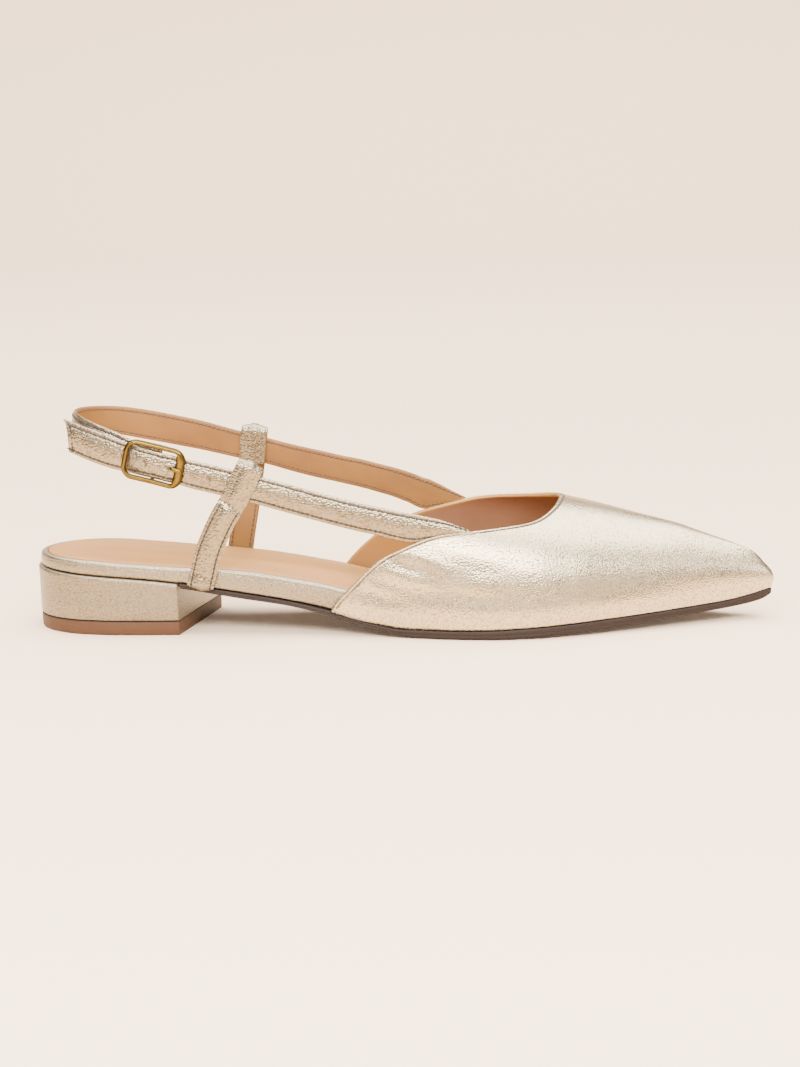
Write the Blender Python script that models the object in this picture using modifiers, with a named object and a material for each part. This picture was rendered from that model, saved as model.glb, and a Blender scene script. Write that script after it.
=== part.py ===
# Sling back flat, right shoe. +X points to the toe, +Y to the inner (medial) side, +Z up.
# Tables are in millimetres, with X counted from the back of the sole; put() turns them into metres.

import math

import bmesh
import bpy
import numpy as np
from mathutils import Vector

MM = 0.001

# Driving dimensions, in millimetres
SHOE_LENGTH = 267.5
MIDDLE_X = 133.9
GAP = 0.3
LIFT_HEIGHT = 5.2
UPPER_WALL = 1.8
STRAP_THICK = 1.6
FOLD_THICK = 1.3
BREAST_X = 54.8
BREAST_SKEW = 8.4
SKEW_ENDS_X = 100.0
TOE_DROP = 11.0
TOE_BULGE = 1.2
RIM_WIDTH = 2.5
SOCK_STEP = 0.9
BUCKLE_LONG = 22.8
BUCKLE_HIGH = 14.6
BUCKLE_X = 48.2
BUCKLE_Z = 62.5
SIDE_STRAP_WIDTH = 9.6
SIDE_FOLD_BACK = 11.5
SLING_END_HALF = 4.7
SLING_END_THICK = 0.6
BAR_DEPTH = -2.1
BAR_RADIUS = 0.6
FRAME_OUT = 2.3
FRAME_DIP = 0.6
FRAME_HALF_BAR = 0.8
FRAME_WIDE_BAR = 1.35
FRAME_HALF_DEPTH = 0.75
FRAME_CORNER = 3.6
VAMP_BULGE = 1.2
WING_FLARE = 1.3
VAMP_INSET = 0.6
RIDGE_SHIFT = 2.0
STRAP_SPACING = 5.5

# Directions of the buckle, in degrees
BUCKLE_SLOPE = 13.5
BUCKLE_TURN = 6.0

# Steps of the vamp's surface: toe to topline, and from the sole edge (0) up to the ridge (1)
LENGTH_STEPS = 24
TURNS = [0.0, 0.05, 0.11, 0.18, 0.26, 0.34, 0.42, 0.48, 0.53, 0.57, 0.61, 0.66, 0.72, 0.8, 0.9, 1.0]

# Plan outline of the sole: x, outer side, inner side
OUTLINE = [
    (0.0, 0.0, 0.0),
    (2.0, 9.5, 9.5),
    (6.0, 16.0, 16.0),
    (12.0, 21.0, 21.0),
    (20.0, 24.6, 24.6),
    (32.0, 26.6, 26.4),
    (45.0, 27.0, 26.0),
    (60.0, 26.8, 24.4),
    (80.0, 27.0, 22.0),
    (100.0, 28.4, 21.5),
    (120.0, 31.2, 24.5),
    (140.0, 35.2, 30.5),
    (155.0, 38.0, 35.5),
    (168.0, 39.0, 38.6),
    (180.0, 38.0, 39.0),
    (195.0, 34.0, 36.0),
    (210.0, 28.0, 30.0),
    (225.0, 21.5, 22.8),
    (240.0, 14.5, 15.3),
    (252.0, 9.0, 9.4),
    (260.0, 5.6, 5.8),
    (265.0, 3.0, 3.0),
    (267.5, 0.0, 0.0),
]

# Side view of the sole: x, underside, top, rim of the footbed
SOLE_SIDE = [
    (0.0, 21.1, 23.0, 27.6),
    (20.0, 20.0, 21.9, 27.0),
    (41.0, 18.6, 20.5, 25.5),
    (55.0, 17.0, 18.9, 24.5),
    (67.0, 14.9, 16.8, 23.8),
    (80.0, 12.7, 14.7, 22.7),
    (94.0, 10.6, 12.4, 20.6),
    (107.0, 7.7, 9.5, 18.2),
    (119.0, 4.0, 6.1, 15.0),
    (127.0, 1.8, 4.3, 12.7),
    (134.0, 0.2, 3.2, 11.0),
    (138.0, 0.0, 3.0, 10.2),
    (152.0, 0.0, 3.0, 8.7),
    (168.0, 0.0, 3.3, 8.3),
    (178.0, 0.3, 3.7, 8.4),
    (203.0, 1.5, 4.8, 9.0),
    (232.0, 3.7, 6.3, 10.4),
    (251.0, 5.0, 7.6, 11.8),
    (259.0, 6.0, 8.9, 13.0),
    (264.0, 7.0, 10.0, 13.9),
    (267.5, 8.4, 10.6, 14.6),
]

# Ridge of the last along the top of the vamp: x, z. It runs on over the open throat.
RIDGE = [
    (109.0, 60.0),
    (130.0, 57.0),
    (150.0, 53.5),
    (170.0, 50.0),
    (184.0, 47.0),
    (191.5, 45.1),
    (205.3, 41.9),
    (219.8, 38.1),
    (234.3, 34.3),
    (241.6, 31.8),
    (248.8, 29.3),
    (257.5, 26.0),
    (268.0, 25.6),
]

# How square the vamp's section is: x, exponent
SQUARENESS = [(109.0, 2.6), (150.0, 2.5), (190.0, 2.25), (230.0, 2.0), (268.0, 2.0)]

# Topline of the outer and of the inner wing: x, z
TOPLINE_OUTER = [
    (109.8, 10.0),
    (112.4, 13.5),
    (116.1, 17.2),
    (119.7, 20.9),
    (123.3, 24.5),
    (126.8, 27.4),
    (130.3, 29.7),
    (135.5, 32.2),
    (142.0, 35.0),
    (147.7, 36.8),
    (154.6, 37.9),
    (161.6, 38.2),
    (168.6, 38.9),
    (175.6, 39.4),
    (180.5, 39.9),
    (184.5, 41.0),
    (187.6, 42.6),
    (190.0, 44.2),
    (191.5, 45.1),
]
TOPLINE_INNER = [
    (105.0, 10.2),
    (107.6, 13.5),
    (110.9, 17.1),
    (113.2, 19.8),
    (116.2, 22.9),
    (119.2, 25.6),
    (122.6, 28.4),
    (127.1, 31.2),
    (130.9, 33.3),
    (135.1, 35.2),
    (140.0, 36.9),
    (146.1, 38.4),
    (153.7, 40.2),
    (161.3, 41.9),
    (168.8, 42.7),
    (176.7, 43.2),
    (184.0, 43.9),
    (188.5, 44.5),
    (191.5, 45.1),
]

# Sling strap, from the inner wing round the heel to the buckle's bar: x, y, top, bottom, thickness
SLING = [
    (154.2, 29.2, 40.9, 40.2, 1.0),
    (150.0, 29.6, 43.0, 39.0, 1.3),
    (145.0, 30.1, 45.6, 37.8, 1.6),
    (140.2, 30.3, 47.7, 36.7, 1.6),
    (135.0, 30.2, 49.8, 38.3, 1.6),
    (129.0, 30.1, 51.7, 40.4, 1.6),
    (123.6, 29.7, 53.2, 42.2, 1.6),
    (116.4, 29.1, 55.2, 44.4, 1.6),
    (108.8, 28.4, 56.9, 46.4, 1.6),
    (101.4, 27.8, 58.8, 48.2, 1.6),
    (94.0, 27.4, 60.6, 50.2, 1.6),
    (81.0, 26.8, 64.1, 54.1, 1.6),
    (69.6, 26.5, 67.2, 56.7, 1.6),
    (56.8, 26.1, 70.9, 59.8, 1.6),
    (45.3, 25.3, 73.6, 62.3, 1.6),
    (35.0, 23.8, 75.8, 64.6, 1.6),
    (27.0, 21.4, 77.2, 66.6, 1.6),
    (20.8, 17.6, 77.9, 68.2, 1.6),
    (17.0, 12.4, 78.3, 68.9, 1.6),
    (15.2, 6.4, 78.6, 69.2, 1.6),
    (14.9, 0.0, 78.7, 69.4, 1.6),
    (16.0, -6.0, 78.6, 69.3, 1.6),
    (18.4, -11.3, 78.2, 68.9, 1.6),
    (22.2, -15.8, 77.0, 67.8, 1.6),
    (27.0, -18.9, 75.5, 66.0, 1.6),
    (33.0, -21.0, 73.4, 63.6, 1.6),
    (39.5, -22.2, 70.4, 60.7, 1.4),
    (44.4, -22.9, 68.3, 58.6, 0.7),
]

# Buckle strap, from the outer wing back to the free end: x, y, top, bottom, thickness
BUCKLE_STRAP = [
    (158.8, -30.4, 39.0, 38.5, 1.0),
    (155.0, -30.5, 40.1, 38.2, 1.3),
    (150.0, -30.6, 41.5, 37.5, 1.6),
    (145.0, -30.7, 42.8, 36.3, 1.6),
    (140.5, -30.8, 43.8, 35.0, 1.6),
    (135.3, -30.8, 44.9, 35.4, 1.6),
    (128.0, -30.7, 46.6, 36.3, 1.6),
    (121.0, -30.5, 48.1, 37.8, 1.6),
    (107.0, -29.8, 51.8, 41.4, 1.6),
    (93.0, -29.1, 55.7, 45.3, 1.6),
    (85.6, -28.8, 57.7, 47.4, 1.6),
    (76.0, -28.4, 60.2, 49.9, 1.6),
    (68.0, -28.0, 62.1, 51.8, 1.6),
    (61.0, -27.8, 63.8, 53.5, 1.5),
    (57.0, -27.85, 64.9, 54.8, 1.5),
    (52.6, -27.8, 65.9, 55.9, 1.5),
    (48.3, -27.4, 66.9, 57.0, 1.5),
    (44.0, -26.8, 68.0, 57.9, 1.5),
    (39.5, -25.75, 69.4, 58.8, 1.5),
    (34.5, -24.8, 71.1, 59.8, 1.6),
    (28.0, -23.3, 73.4, 61.6, 1.6),
    (21.5, -21.2, 75.5, 63.8, 1.6),
    (15.8, -18.8, 77.3, 65.8, 1.6),
]

# Outer side strap up to its fold: x, y, z of its middle line
OUTER_RISE = [
    (63.1, -27.75, 17.9),
    (64.2, -27.85, 22.1),
    (66.2, -28.5, 29.5),
    (69.1, -29.2, 36.4),
    (72.6, -29.9, 43.1),
    (76.0, -30.25, 48.6),
    (79.0, -30.5, 54.2),
    (82.0, -30.6, 60.2),
]

# Inner side strap up to its fold: x, y, z of its middle line
INNER_RISE = [
    (70.0, 24.4, 17.0),
    (70.9, 25.0, 22.8),
    (72.2, 26.0, 31.1),
    (73.4, 26.9, 38.1),
    (74.6, 27.8, 46.3),
    (75.8, 28.4, 54.4),
    (76.6, 28.6, 60.4),
    (77.2, 28.6, 66.2),
]
# Materials: base colour, roughness, metallic
COLOURS = {
    "gold_leather": ((0.72, 0.62, 0.48), 0.34, 0.75),
    "tan_lining": ((0.63, 0.36, 0.17), 0.6, 0.0),
    "sole_brown": ((0.09, 0.045, 0.035), 0.5, 0.0),
    "lift_brown": ((0.35, 0.18, 0.10), 0.6, 0.0),
    "antique_brass": ((0.50, 0.36, 0.14), 0.3, 1.0),
}


def clear_scene():
    for obj in list(bpy.data.objects):
        bpy.data.objects.remove(obj, do_unlink=True)


def new_collection(name):
    collection = bpy.data.collections.new(name)
    bpy.context.scene.collection.children.link(collection)
    return collection


def new_material(name):
    colour, roughness, metallic = COLOURS[name]
    material = bpy.data.materials.new(name)
    material.use_nodes = True
    shader = material.node_tree.nodes["Principled BSDF"]
    shader.inputs["Base Color"].default_value = (*colour, 1.0)
    shader.inputs["Roughness"].default_value = roughness
    shader.inputs["Metallic"].default_value = metallic
    material.diffuse_color = (*colour, 1.0)
    return material


def put(x, y, z):
    """A point of the tables as a place in the scene."""
    return Vector(((x - MIDDLE_X) * MM, y * MM, z * MM))


def slopes(xs, ys):
    """Slopes that keep a curve through the table's points free of overshoot."""
    steps = np.diff(ys) / np.diff(xs)
    before = steps[:-1]
    after = steps[1:]
    same_way = before * after > 0
    total = np.where(same_way, before + after, 1.0)
    inner = np.where(same_way, 2 * before * after / total, 0.0)
    return np.concatenate([[steps[0]], inner, [steps[-1]]])


def smooth_curve(xs, ys):
    """A smooth function through the points (xs, ys)."""
    xs = np.array(xs, float)
    ys = np.array(ys, float)
    tangents = slopes(xs, ys)

    def value(x):
        x = min(max(x, xs[0]), xs[-1])
        i = min(int(np.searchsorted(xs, x, side="right")) - 1, len(xs) - 2)
        h = xs[i + 1] - xs[i]
        t = (x - xs[i]) / h
        start = (2 * t**3 - 3 * t**2 + 1) * ys[i] + (t**3 - 2 * t**2 + t) * h * tangents[i]
        end = (3 * t**2 - 2 * t**3) * ys[i + 1] + (t**3 - t**2) * h * tangents[i + 1]
        return float(start + end)

    return value


def column(rows, number, order=1):
    return smooth_curve([row[0] for row in rows], [row[number] ** order for row in rows])


outer_squared = column(OUTLINE, 1, 2)
inner_squared = column(OUTLINE, 2, 2)
sole_under = column(SOLE_SIDE, 1)
sole_top = column(SOLE_SIDE, 2)
rim_top = column(SOLE_SIDE, 3)
ridge_height = column(RIDGE, 1)
squareness = column(SQUARENESS, 1)


def side_y(x, side):
    """Sole edge at x, on the outer side (-1) or the inner side (1)."""
    squared = outer_squared(x) if side < 0 else inner_squared(x)
    return side * math.sqrt(max(squared, 0.0))


def edge_point(x, side, inset):
    """A point of the sole's outline moved inwards by inset."""
    step = 0.2
    ahead = min(x + step, SHOE_LENGTH)
    behind = max(x - step, 0.0)
    along = Vector((ahead - behind, side_y(ahead, side) - side_y(behind, side))).normalized()
    inwards = Vector((along.y, -along.x)) * side
    return x + inwards.x * inset, side_y(x, side) + inwards.y * inset


def object_from(name, verts, faces, material, collection):
    mesh = bpy.data.meshes.new(name)
    mesh.from_pydata([tuple(v) for v in verts], [], faces)
    body = bmesh.new()
    body.from_mesh(mesh)
    bmesh.ops.recalc_face_normals(body, faces=body.faces)
    body.to_mesh(mesh)
    body.free()
    mesh.shade_smooth()
    mesh.set_sharp_from_angle(angle=math.radians(40))
    mesh.materials.append(material)
    obj = bpy.data.objects.new(name, mesh)
    collection.objects.link(obj)
    return obj


def plan_solid(name, stations, profile, material, collection, crown=0.0):
    """A solid that follows the sole's outline.

    stations: (x on the outer side, x on the inner side), heel to toe
    profile(x): (inset, z) rows up the side, from the underside to the top
    crown: how much the middle of the top stands above its edges
    """
    verts = []
    mids = (0.2, 0.5, 0.8) if crown else ()
    for x_outer, x_inner in stations:
        left = [(*edge_point(x_outer, -1, inset), z) for inset, z in profile(x_outer)]
        right = [(*edge_point(x_inner, 1, inset), z) for inset, z in profile(x_inner)]
        a = Vector(left[-1])
        b = Vector(right[-1])
        rise = crown * min(1.0, (b - a).length / 20.0)
        middle = [a.lerp(b, m) + Vector((0, 0, rise * 4 * m * (1 - m))) for m in mids]
        loop = left + middle + right[::-1]
        verts += [put(*p) for p in loop]
    size = len(loop)
    levels = len(left)
    faces = []
    for i in range(len(stations) - 1):
        for k in range(size):
            n = (k + 1) % size
            faces.append((i * size + k, i * size + n, (i + 1) * size + n, (i + 1) * size + k))
    for base in (0, (len(stations) - 1) * size):
        for k in range(levels - 1):
            faces.append((base + k, base + k + 1, base + size - 2 - k, base + size - 1 - k))
        if crown:
            faces.append(tuple(base + k for k in range(levels - 1, size - levels + 1)))
    return object_from(name, verts, faces, material, collection)


def spread(start, end, count):
    return [start + (end - start) * i / (count - 1) for i in range(count)]


def skewed(x):
    """The inner side's station for an outer station: the heel breast stands askew."""
    left_over = (SKEW_ENDS_X - x) / (SKEW_ENDS_X - BREAST_X)
    return x + BREAST_SKEW * min(max(left_over, 0.0), 1.0)


def rear_stations(last_outer, last_inner, count):
    steps = [(i / (count - 1)) ** 1.8 for i in range(count)]
    first = 0.12
    return [(first + (last_outer - first) * u, first + (last_inner - first) * u) for u in steps]


def toe_stations(start, end, count):
    return [end - (end - start) * (1 - i / (count - 1)) ** 1.6 for i in range(count)]


def make_top_lift(material, collection):
    def profile(x):
        return [(0.9, 0.0), (0.4, 0.4), (0.1, LIFT_HEIGHT)]

    stations = rear_stations(BREAST_X, BREAST_X + BREAST_SKEW, 16)
    return plan_solid("top_lift", stations, profile, material, collection)


def make_heel_block(material, collection):
    def profile(x):
        top = sole_top(x) - GAP
        base = LIFT_HEIGHT + GAP
        return [
            (0.1, base),
            (-0.1, base + 0.4),
            (-0.2, base + 0.5 * (top - base)),
            (-0.4, top - 0.5),
            (-0.1, top),
        ]

    stations = rear_stations(BREAST_X, BREAST_X + BREAST_SKEW, 18)
    return plan_solid("heel_block", stations, profile, material, collection)


def make_outsole(material, collection):
    def profile(x):
        under = sole_under(x)
        top = sole_top(x)
        return [(1.2, under), (0.3, under + 0.5), (0.0, under + 1.1), (0.1, top)]

    start = BREAST_X + 2 * GAP
    waist = [(x, skewed(x)) for x in spread(start, 134.0, 15)]
    tread = [(x, x) for x in (138.0, 152.0, 160.0, 168.0, 175.0)]
    toe = [(x, x) for x in toe_stations(182.0, SHOE_LENGTH - 0.1, 20)]
    return plan_solid("outsole", waist + tread + toe, profile, material, collection)


def footbed_inset(x):
    """How far the footbed's edge stands in from the sole's, to leave room for the wings and the vamp."""
    table = smooth_curve([0.0, 92.0, 104.0, 113.0, 132.0, SHOE_LENGTH], [0.6, 0.6, 1.5, 2.1, 2.9, 2.9])
    return table(x)


def make_footbed(material, collection):
    def profile(x):
        edge = footbed_inset(x)
        base = sole_top(x) + (GAP if x > BREAST_X else 0.0)
        top = rim_top(x)
        return [
            (edge + 0.4, base),
            (edge, base + 0.5),
            (edge, top - 1.6),
            (edge + 0.35, top - 0.5),
            (edge + 1.2, top),
            (edge + RIM_WIDTH - 0.1, top - 0.1),
            (edge + RIM_WIDTH, top - SOCK_STEP),
        ]

    heel = rear_stations(50.0, skewed(50.0), 14)
    waist = [(x, skewed(x)) for x in spread(57.0, 134.0, 16)]
    toe = [(x, x) for x in toe_stations(141.0, 261.5, 20)]
    return plan_solid("footbed", heel + waist + toe, profile, material, collection)


def make_sock(material, collection):
    def profile(x):
        edge = footbed_inset(x) + RIM_WIDTH + GAP
        top = rim_top(x)
        return [(edge, top - SOCK_STEP + GAP), (edge, top), (edge + 0.6, top + 0.35)]

    heel = rear_stations(50.0, skewed(50.0), 12)
    waist = [(x, skewed(x)) for x in spread(57.0, 134.0, 12)]
    toe = [(x, x) for x in toe_stations(141.0, 253.0, 12)]
    return plan_solid("insole_sock", heel + waist + toe, profile, material, collection, crown=0.7)


def wing_flare(x):
    """The wings stand a little proud of the sole edge at their rear, where they lap over the rand."""
    start = 131.0
    full = 109.0
    return WING_FLARE * min(max((start - x) / (start - full), 0.0), 1.0)


def section_point(x, foot_x, t, side):
    """A point of the last: t runs from the sole edge (0) up to the ridge (1)."""
    power = 2.0 / squareness(x)
    across = math.cos(0.5 * math.pi * t) ** power if t < 1 else 0.0
    up = math.sin(0.5 * math.pi * t) ** power
    ridge_y = RIDGE_SHIFT * min(1.0, max(0.0, (262.0 - x) / 60.0))
    foot_y = side_y(foot_x, side)
    foot_y -= side * min(VAMP_INSET - wing_flare(foot_x), abs(foot_y))
    bulge_top = 0.7
    bulge = VAMP_BULGE * math.sin(math.pi * t / bulge_top) if t < bulge_top else 0.0
    bulge *= min(1.0, abs(foot_y) / 8.0)
    base = sole_top(foot_x) + GAP
    y = ridge_y + (foot_y - ridge_y) * across + side * bulge
    return x, y, base + (ridge_height(x) - base) * up


def topline_turn(rows):
    """x of the topline for each t, worked out from the table's heights."""
    xs = []
    turns = []
    for x, z in rows:
        base = sole_top(x) + GAP
        share = min(max((z - base) / (ridge_height(x) - base), 0.0), 1.0)
        turns.append(math.asin(share ** (squareness(x) / 2.0)) / (0.5 * math.pi))
        xs.append(x)
    turns[0] = 0.0
    turns[-1] = 1.0
    return smooth_curve(turns, xs)


def vamp_point(s, t, side, topline):
    """s runs from the toe (0) to the topline (1)."""
    bulge_top = 0.52
    bulge = TOE_BULGE * math.sin(math.pi * t / bulge_top) if t < bulge_top else 0.0
    tip = SHOE_LENGTH - TOE_DROP * (1 - math.cos(0.5 * math.pi * t)) + bulge
    x = tip + (topline(t) - tip) * s
    lead = min(max((x - 200.0) / (tip - 200.0), 0.0), 1.0)
    foot_x = x + (SHOE_LENGTH - tip) * lead * lead
    return section_point(x, foot_x, t, side)


def make_upper(material, collection):
    verts = []
    faces = []
    for side, rows in ((-1, TOPLINE_OUTER), (1, TOPLINE_INNER)):
        topline = topline_turn(rows)
        base = len(verts)
        for t in TURNS:
            for i in range(LENGTH_STEPS):
                s = (i / (LENGTH_STEPS - 1)) ** 1.35
                verts.append(put(*vamp_point(s, t, side, topline)))
        for j in range(len(TURNS) - 1):
            for i in range(LENGTH_STEPS - 1):
                a = base + j * LENGTH_STEPS + i
                quad = (a, a + 1, a + LENGTH_STEPS + 1, a + LENGTH_STEPS)
                faces.append(quad if side < 0 else quad[::-1])
    mesh = bpy.data.meshes.new("upper")
    mesh.from_pydata([tuple(v) for v in verts], [], faces)
    body = bmesh.new()
    body.from_mesh(mesh)
    bmesh.ops.remove_doubles(body, verts=body.verts, dist=0.00002)
    bmesh.ops.recalc_face_normals(body, faces=body.faces)
    highest = max(body.faces, key=lambda face: face.calc_center_median().z)
    if highest.normal.z < 0:
        bmesh.ops.reverse_faces(body, faces=body.faces)
    body.to_mesh(mesh)
    body.free()
    mesh.shade_smooth()
    mesh.materials.append(material)
    obj = bpy.data.objects.new("upper", mesh)
    collection.objects.link(obj)
    wall = obj.modifiers.new("wall", "SOLIDIFY")
    wall.thickness = UPPER_WALL * MM
    wall.offset = -1.0
    wall.use_even_offset = False
    return obj


def resampled(points, spacing):
    """The same path with a point about every spacing millimetres, on a smooth curve."""
    lengths = [0.0]
    for a, b in zip(points, points[1:]):
        lengths.append(lengths[-1] + (Vector(b[:3]) - Vector(a[:3])).length)
    curves = [smooth_path(lengths, [p[k] for p in points]) for k in range(len(points[0]))]
    count = max(2, round(lengths[-1] / spacing)) + 1
    return [tuple(curve(lengths[-1] * i / (count - 1)) for curve in curves) for i in range(count)]


def smooth_path(lengths, values):
    """A smooth function of the length along a path, with each slope taken from its two neighbours."""
    ls = np.array(lengths, float)
    vs = np.array(values, float)
    tangents = np.gradient(vs, ls)

    def value(length):
        i = min(int(np.searchsorted(ls, length, side="right")) - 1, len(ls) - 2)
        h = ls[i + 1] - ls[i]
        t = (length - ls[i]) / h
        start = (2 * t**3 - 3 * t**2 + 1) * vs[i] + (t**3 - 2 * t**2 + t) * h * tangents[i]
        end = (3 * t**2 - 2 * t**3) * vs[i + 1] + (t**3 - t**2) * h * tangents[i + 1]
        return float(start + end)

    return value


def ribbon(name, middles, acrosses, halves, thicks, material, collection):
    """A strap: middle line, unit vectors across it, half widths and thicknesses, with rounded edges."""
    verts = []
    count = len(middles)
    for i in range(count):
        ahead = middles[min(i + 1, count - 1)]
        behind = middles[max(i - 1, 0)]
        along = (ahead - behind).normalized()
        normal = along.cross(acrosses[i]).normalized()
        half = halves[i]
        thick = thicks[i] * 0.5
        soft = min(0.45 * thicks[i], 0.6 * half)
        outline = [
            (-half, 0.0),
            (-half + soft, thick),
            (half - soft, thick),
            (half, 0.0),
            (half - soft, -thick),
            (-half + soft, -thick),
        ]
        for across, out in outline:
            p = middles[i] + acrosses[i] * across + normal * out
            verts.append(put(*p))
    size = len(outline)
    faces = []
    for i in range(count - 1):
        for k in range(size):
            n = (k + 1) % size
            faces.append((i * size + k, i * size + n, (i + 1) * size + n, (i + 1) * size + k))
    faces.append(tuple(range(size))[::-1])
    faces.append(tuple((count - 1) * size + k for k in range(size)))
    return object_from(name, verts, faces, material, collection)


def band_path(rows, spacing):
    """Middle points, directions across, half widths and thicknesses of a strap from its rows."""
    path = resampled(rows, spacing)
    middles = [Vector((x, y, 0.5 * (top + bottom))) for x, y, top, bottom, thick in path]
    acrosses = []
    halves = []
    for i, row in enumerate(path):
        along = (middles[min(i + 1, len(path) - 1)] - middles[max(i - 1, 0)]).normalized()
        across = (Vector((0, 0, 1)) - along * along.z).normalized()
        acrosses.append(across)
        halves.append(0.5 * (row[2] - row[3]) * across.z)
    return middles, acrosses, halves, [row[4] for row in path]


def buckle_point(along, up, out):
    """A point of the buckle: along the strap towards the toe, up across it, and out from the foot."""
    slope = math.radians(BUCKLE_SLOPE)
    turn = math.radians(BUCKLE_TURN)
    x = along * math.cos(slope) + up * math.sin(slope)
    z = -along * math.sin(slope) + up * math.cos(slope)
    y = -26.5 - x * math.sin(turn) - out * math.cos(turn)
    return BUCKLE_X + x * math.cos(turn) - out * math.sin(turn), y, BUCKLE_Z + z


def saddle(along):
    """How far the frame stands out: its ends ride over the strap, and its middle dips a little."""
    share = min(abs(along) / 8.2, 1.0)
    return FRAME_OUT - FRAME_DIP * (1 - share * share)


def rounded_corner_path(half_long, half_high, radius, steps):
    """Points round a rectangle with round corners, from the toe side's middle."""
    points = []
    corners = ((1, 1, 0), (-1, 1, 90), (-1, -1, 180), (1, -1, 270))
    for sx, sz, start in corners:
        for i in range(steps + 1):
            angle = math.radians(start + 90 * i / steps)
            cx = sx * (half_long - radius)
            cz = sz * (half_high - radius)
            points.append((cx + radius * math.cos(angle), cz + radius * math.sin(angle)))
    return points


def filled_in(points, longest):
    """The same closed path with extra points where two lie further apart than longest."""
    result = []
    for a, b in zip(points, points[1:] + points[:1]):
        pieces = max(1, math.ceil(math.dist(a, b) / longest))
        for i in range(pieces):
            share = i / pieces
            result.append((a[0] + (b[0] - a[0]) * share, a[1] + (b[1] - a[1]) * share))
    return result


def make_buckle_frame(material, collection, cutters):
    end_along = BUCKLE_LONG / 2 - FRAME_HALF_BAR
    end_up = BUCKLE_HIGH / 2 - FRAME_HALF_BAR
    path = filled_in(rounded_corner_path(end_along, end_up, FRAME_CORNER, 4), 2.2)
    verts = []
    size = 8
    for i, (along, up) in enumerate(path):
        ahead = Vector(path[(i + 1) % len(path)])
        behind = Vector(path[i - 1])
        tangent = (ahead - behind).normalized()
        outwards = Vector((tangent.y, -tangent.x))
        wide = FRAME_WIDE_BAR if along > end_along - 0.4 else FRAME_HALF_BAR
        shift = FRAME_HALF_BAR - wide
        for k in range(size):
            angle = 2 * math.pi * (k + 0.5) / size
            r = outwards * (wide * math.cos(angle) + shift)
            out = saddle(along) + FRAME_HALF_DEPTH * math.sin(angle)
            verts.append(put(*buckle_point(along + r.x, up + r.y, out)))
    faces = []
    for i in range(len(path)):
        n = (i + 1) % len(path)
        for k in range(size):
            m = (k + 1) % size
            faces.append((i * size + k, i * size + m, n * size + m, n * size + k))
    frame = object_from("buckle_frame", verts, faces, material, collection)
    low = BAR_DEPTH - 0.4
    post = BAR_RADIUS + 0.1
    rods = [
        ("buckle_bar", (0, -end_up, BAR_DEPTH), (0, end_up, BAR_DEPTH), BAR_RADIUS),
        ("lower_post", (0, -end_up, low), (0, -end_up, saddle(0)), post),
        ("upper_post", (0, end_up, low), (0, end_up, saddle(0)), post),
    ]
    for name, start, finish, radius in rods:
        join = frame.modifiers.new(name, "BOOLEAN")
        join.operation = "UNION"
        join.object = make_rod(name, start, finish, radius, cutters)
    return frame


def make_rod(name, start, end, radius, collection):
    a = put(*buckle_point(*start))
    b = put(*buckle_point(*end))
    mesh = bpy.data.meshes.new(name)
    body = bmesh.new()
    bmesh.ops.create_cone(
        body,
        cap_ends=True,
        segments=12,
        radius1=radius * MM,
        radius2=radius * MM,
        depth=(b - a).length,
    )
    turn = Vector((0, 0, 1)).rotation_difference(b - a).to_matrix()
    bmesh.ops.transform(body, matrix=turn.to_4x4(), verts=body.verts)
    bmesh.ops.translate(body, vec=(a + b) / 2, verts=body.verts)
    body.to_mesh(mesh)
    body.free()
    rod = bpy.data.objects.new(name, mesh)
    rod.hide_render = True
    rod.display_type = "WIRE"
    collection.objects.link(rod)
    return rod


def make_prong(material, collection):
    """A curved pin that hooks round the bar, passes the strap's slot and rests on the frame's toe side."""
    reach = BAR_RADIUS + GAP + 0.4
    path = []
    for degrees in range(-40, -275, -26):
        angle = math.radians(degrees)
        path.append((reach * math.cos(angle), BAR_DEPTH + reach * math.sin(angle), 0.45))
    path += [
        (2.2, BAR_DEPTH + reach, 0.45),
        (3.9, BAR_DEPTH + reach + 0.05, 0.45),
        (5.0, -0.2, 0.5),
        (5.9, 1.2, 0.55),
        (6.7, 2.7, 0.6),
        (8.0, 3.85, 0.6),
        (10.8, 4.0, 0.5),
    ]
    verts = []
    size = 8
    for i, (along, out, radius) in enumerate(path):
        ahead = Vector(path[min(i + 1, len(path) - 1)][:2])
        behind = Vector(path[max(i - 1, 0)][:2])
        tangent = (ahead - behind).normalized()
        normal = Vector((-tangent.y, tangent.x))
        for k in range(size):
            angle = 2 * math.pi * k / size
            side = radius * math.cos(angle)
            away = normal * radius * math.sin(angle)
            verts.append(put(*buckle_point(along + away.x, side, out + away.y)))
    faces = []
    for i in range(len(path) - 1):
        for k in range(size):
            m = (k + 1) % size
            faces.append((i * size + k, i * size + m, (i + 1) * size + m, (i + 1) * size + k))
    faces.append(tuple(range(size))[::-1])
    faces.append(tuple((len(path) - 1) * size + k for k in range(size)))
    return object_from("buckle_prong", verts, faces, material, collection)


def make_block_cutter(name, centre, size, collection):
    """A box in the buckle's own directions."""
    mesh = bpy.data.meshes.new(name)
    body = bmesh.new()
    bmesh.ops.create_cube(body, size=1.0)
    for vert in body.verts:
        local = [centre[k] + vert.co[k] * size[k] for k in range(3)]
        vert.co = put(*buckle_point(*local))
    bmesh.ops.recalc_face_normals(body, faces=body.faces)
    body.to_mesh(mesh)
    body.free()
    block = bpy.data.objects.new(name, mesh)
    block.hide_render = True
    block.display_type = "WIRE"
    collection.objects.link(block)
    return block


def cut(obj, cutter):
    modifier = obj.modifiers.new(cutter.name, "BOOLEAN")
    modifier.operation = "DIFFERENCE"
    modifier.object = cutter


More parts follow.
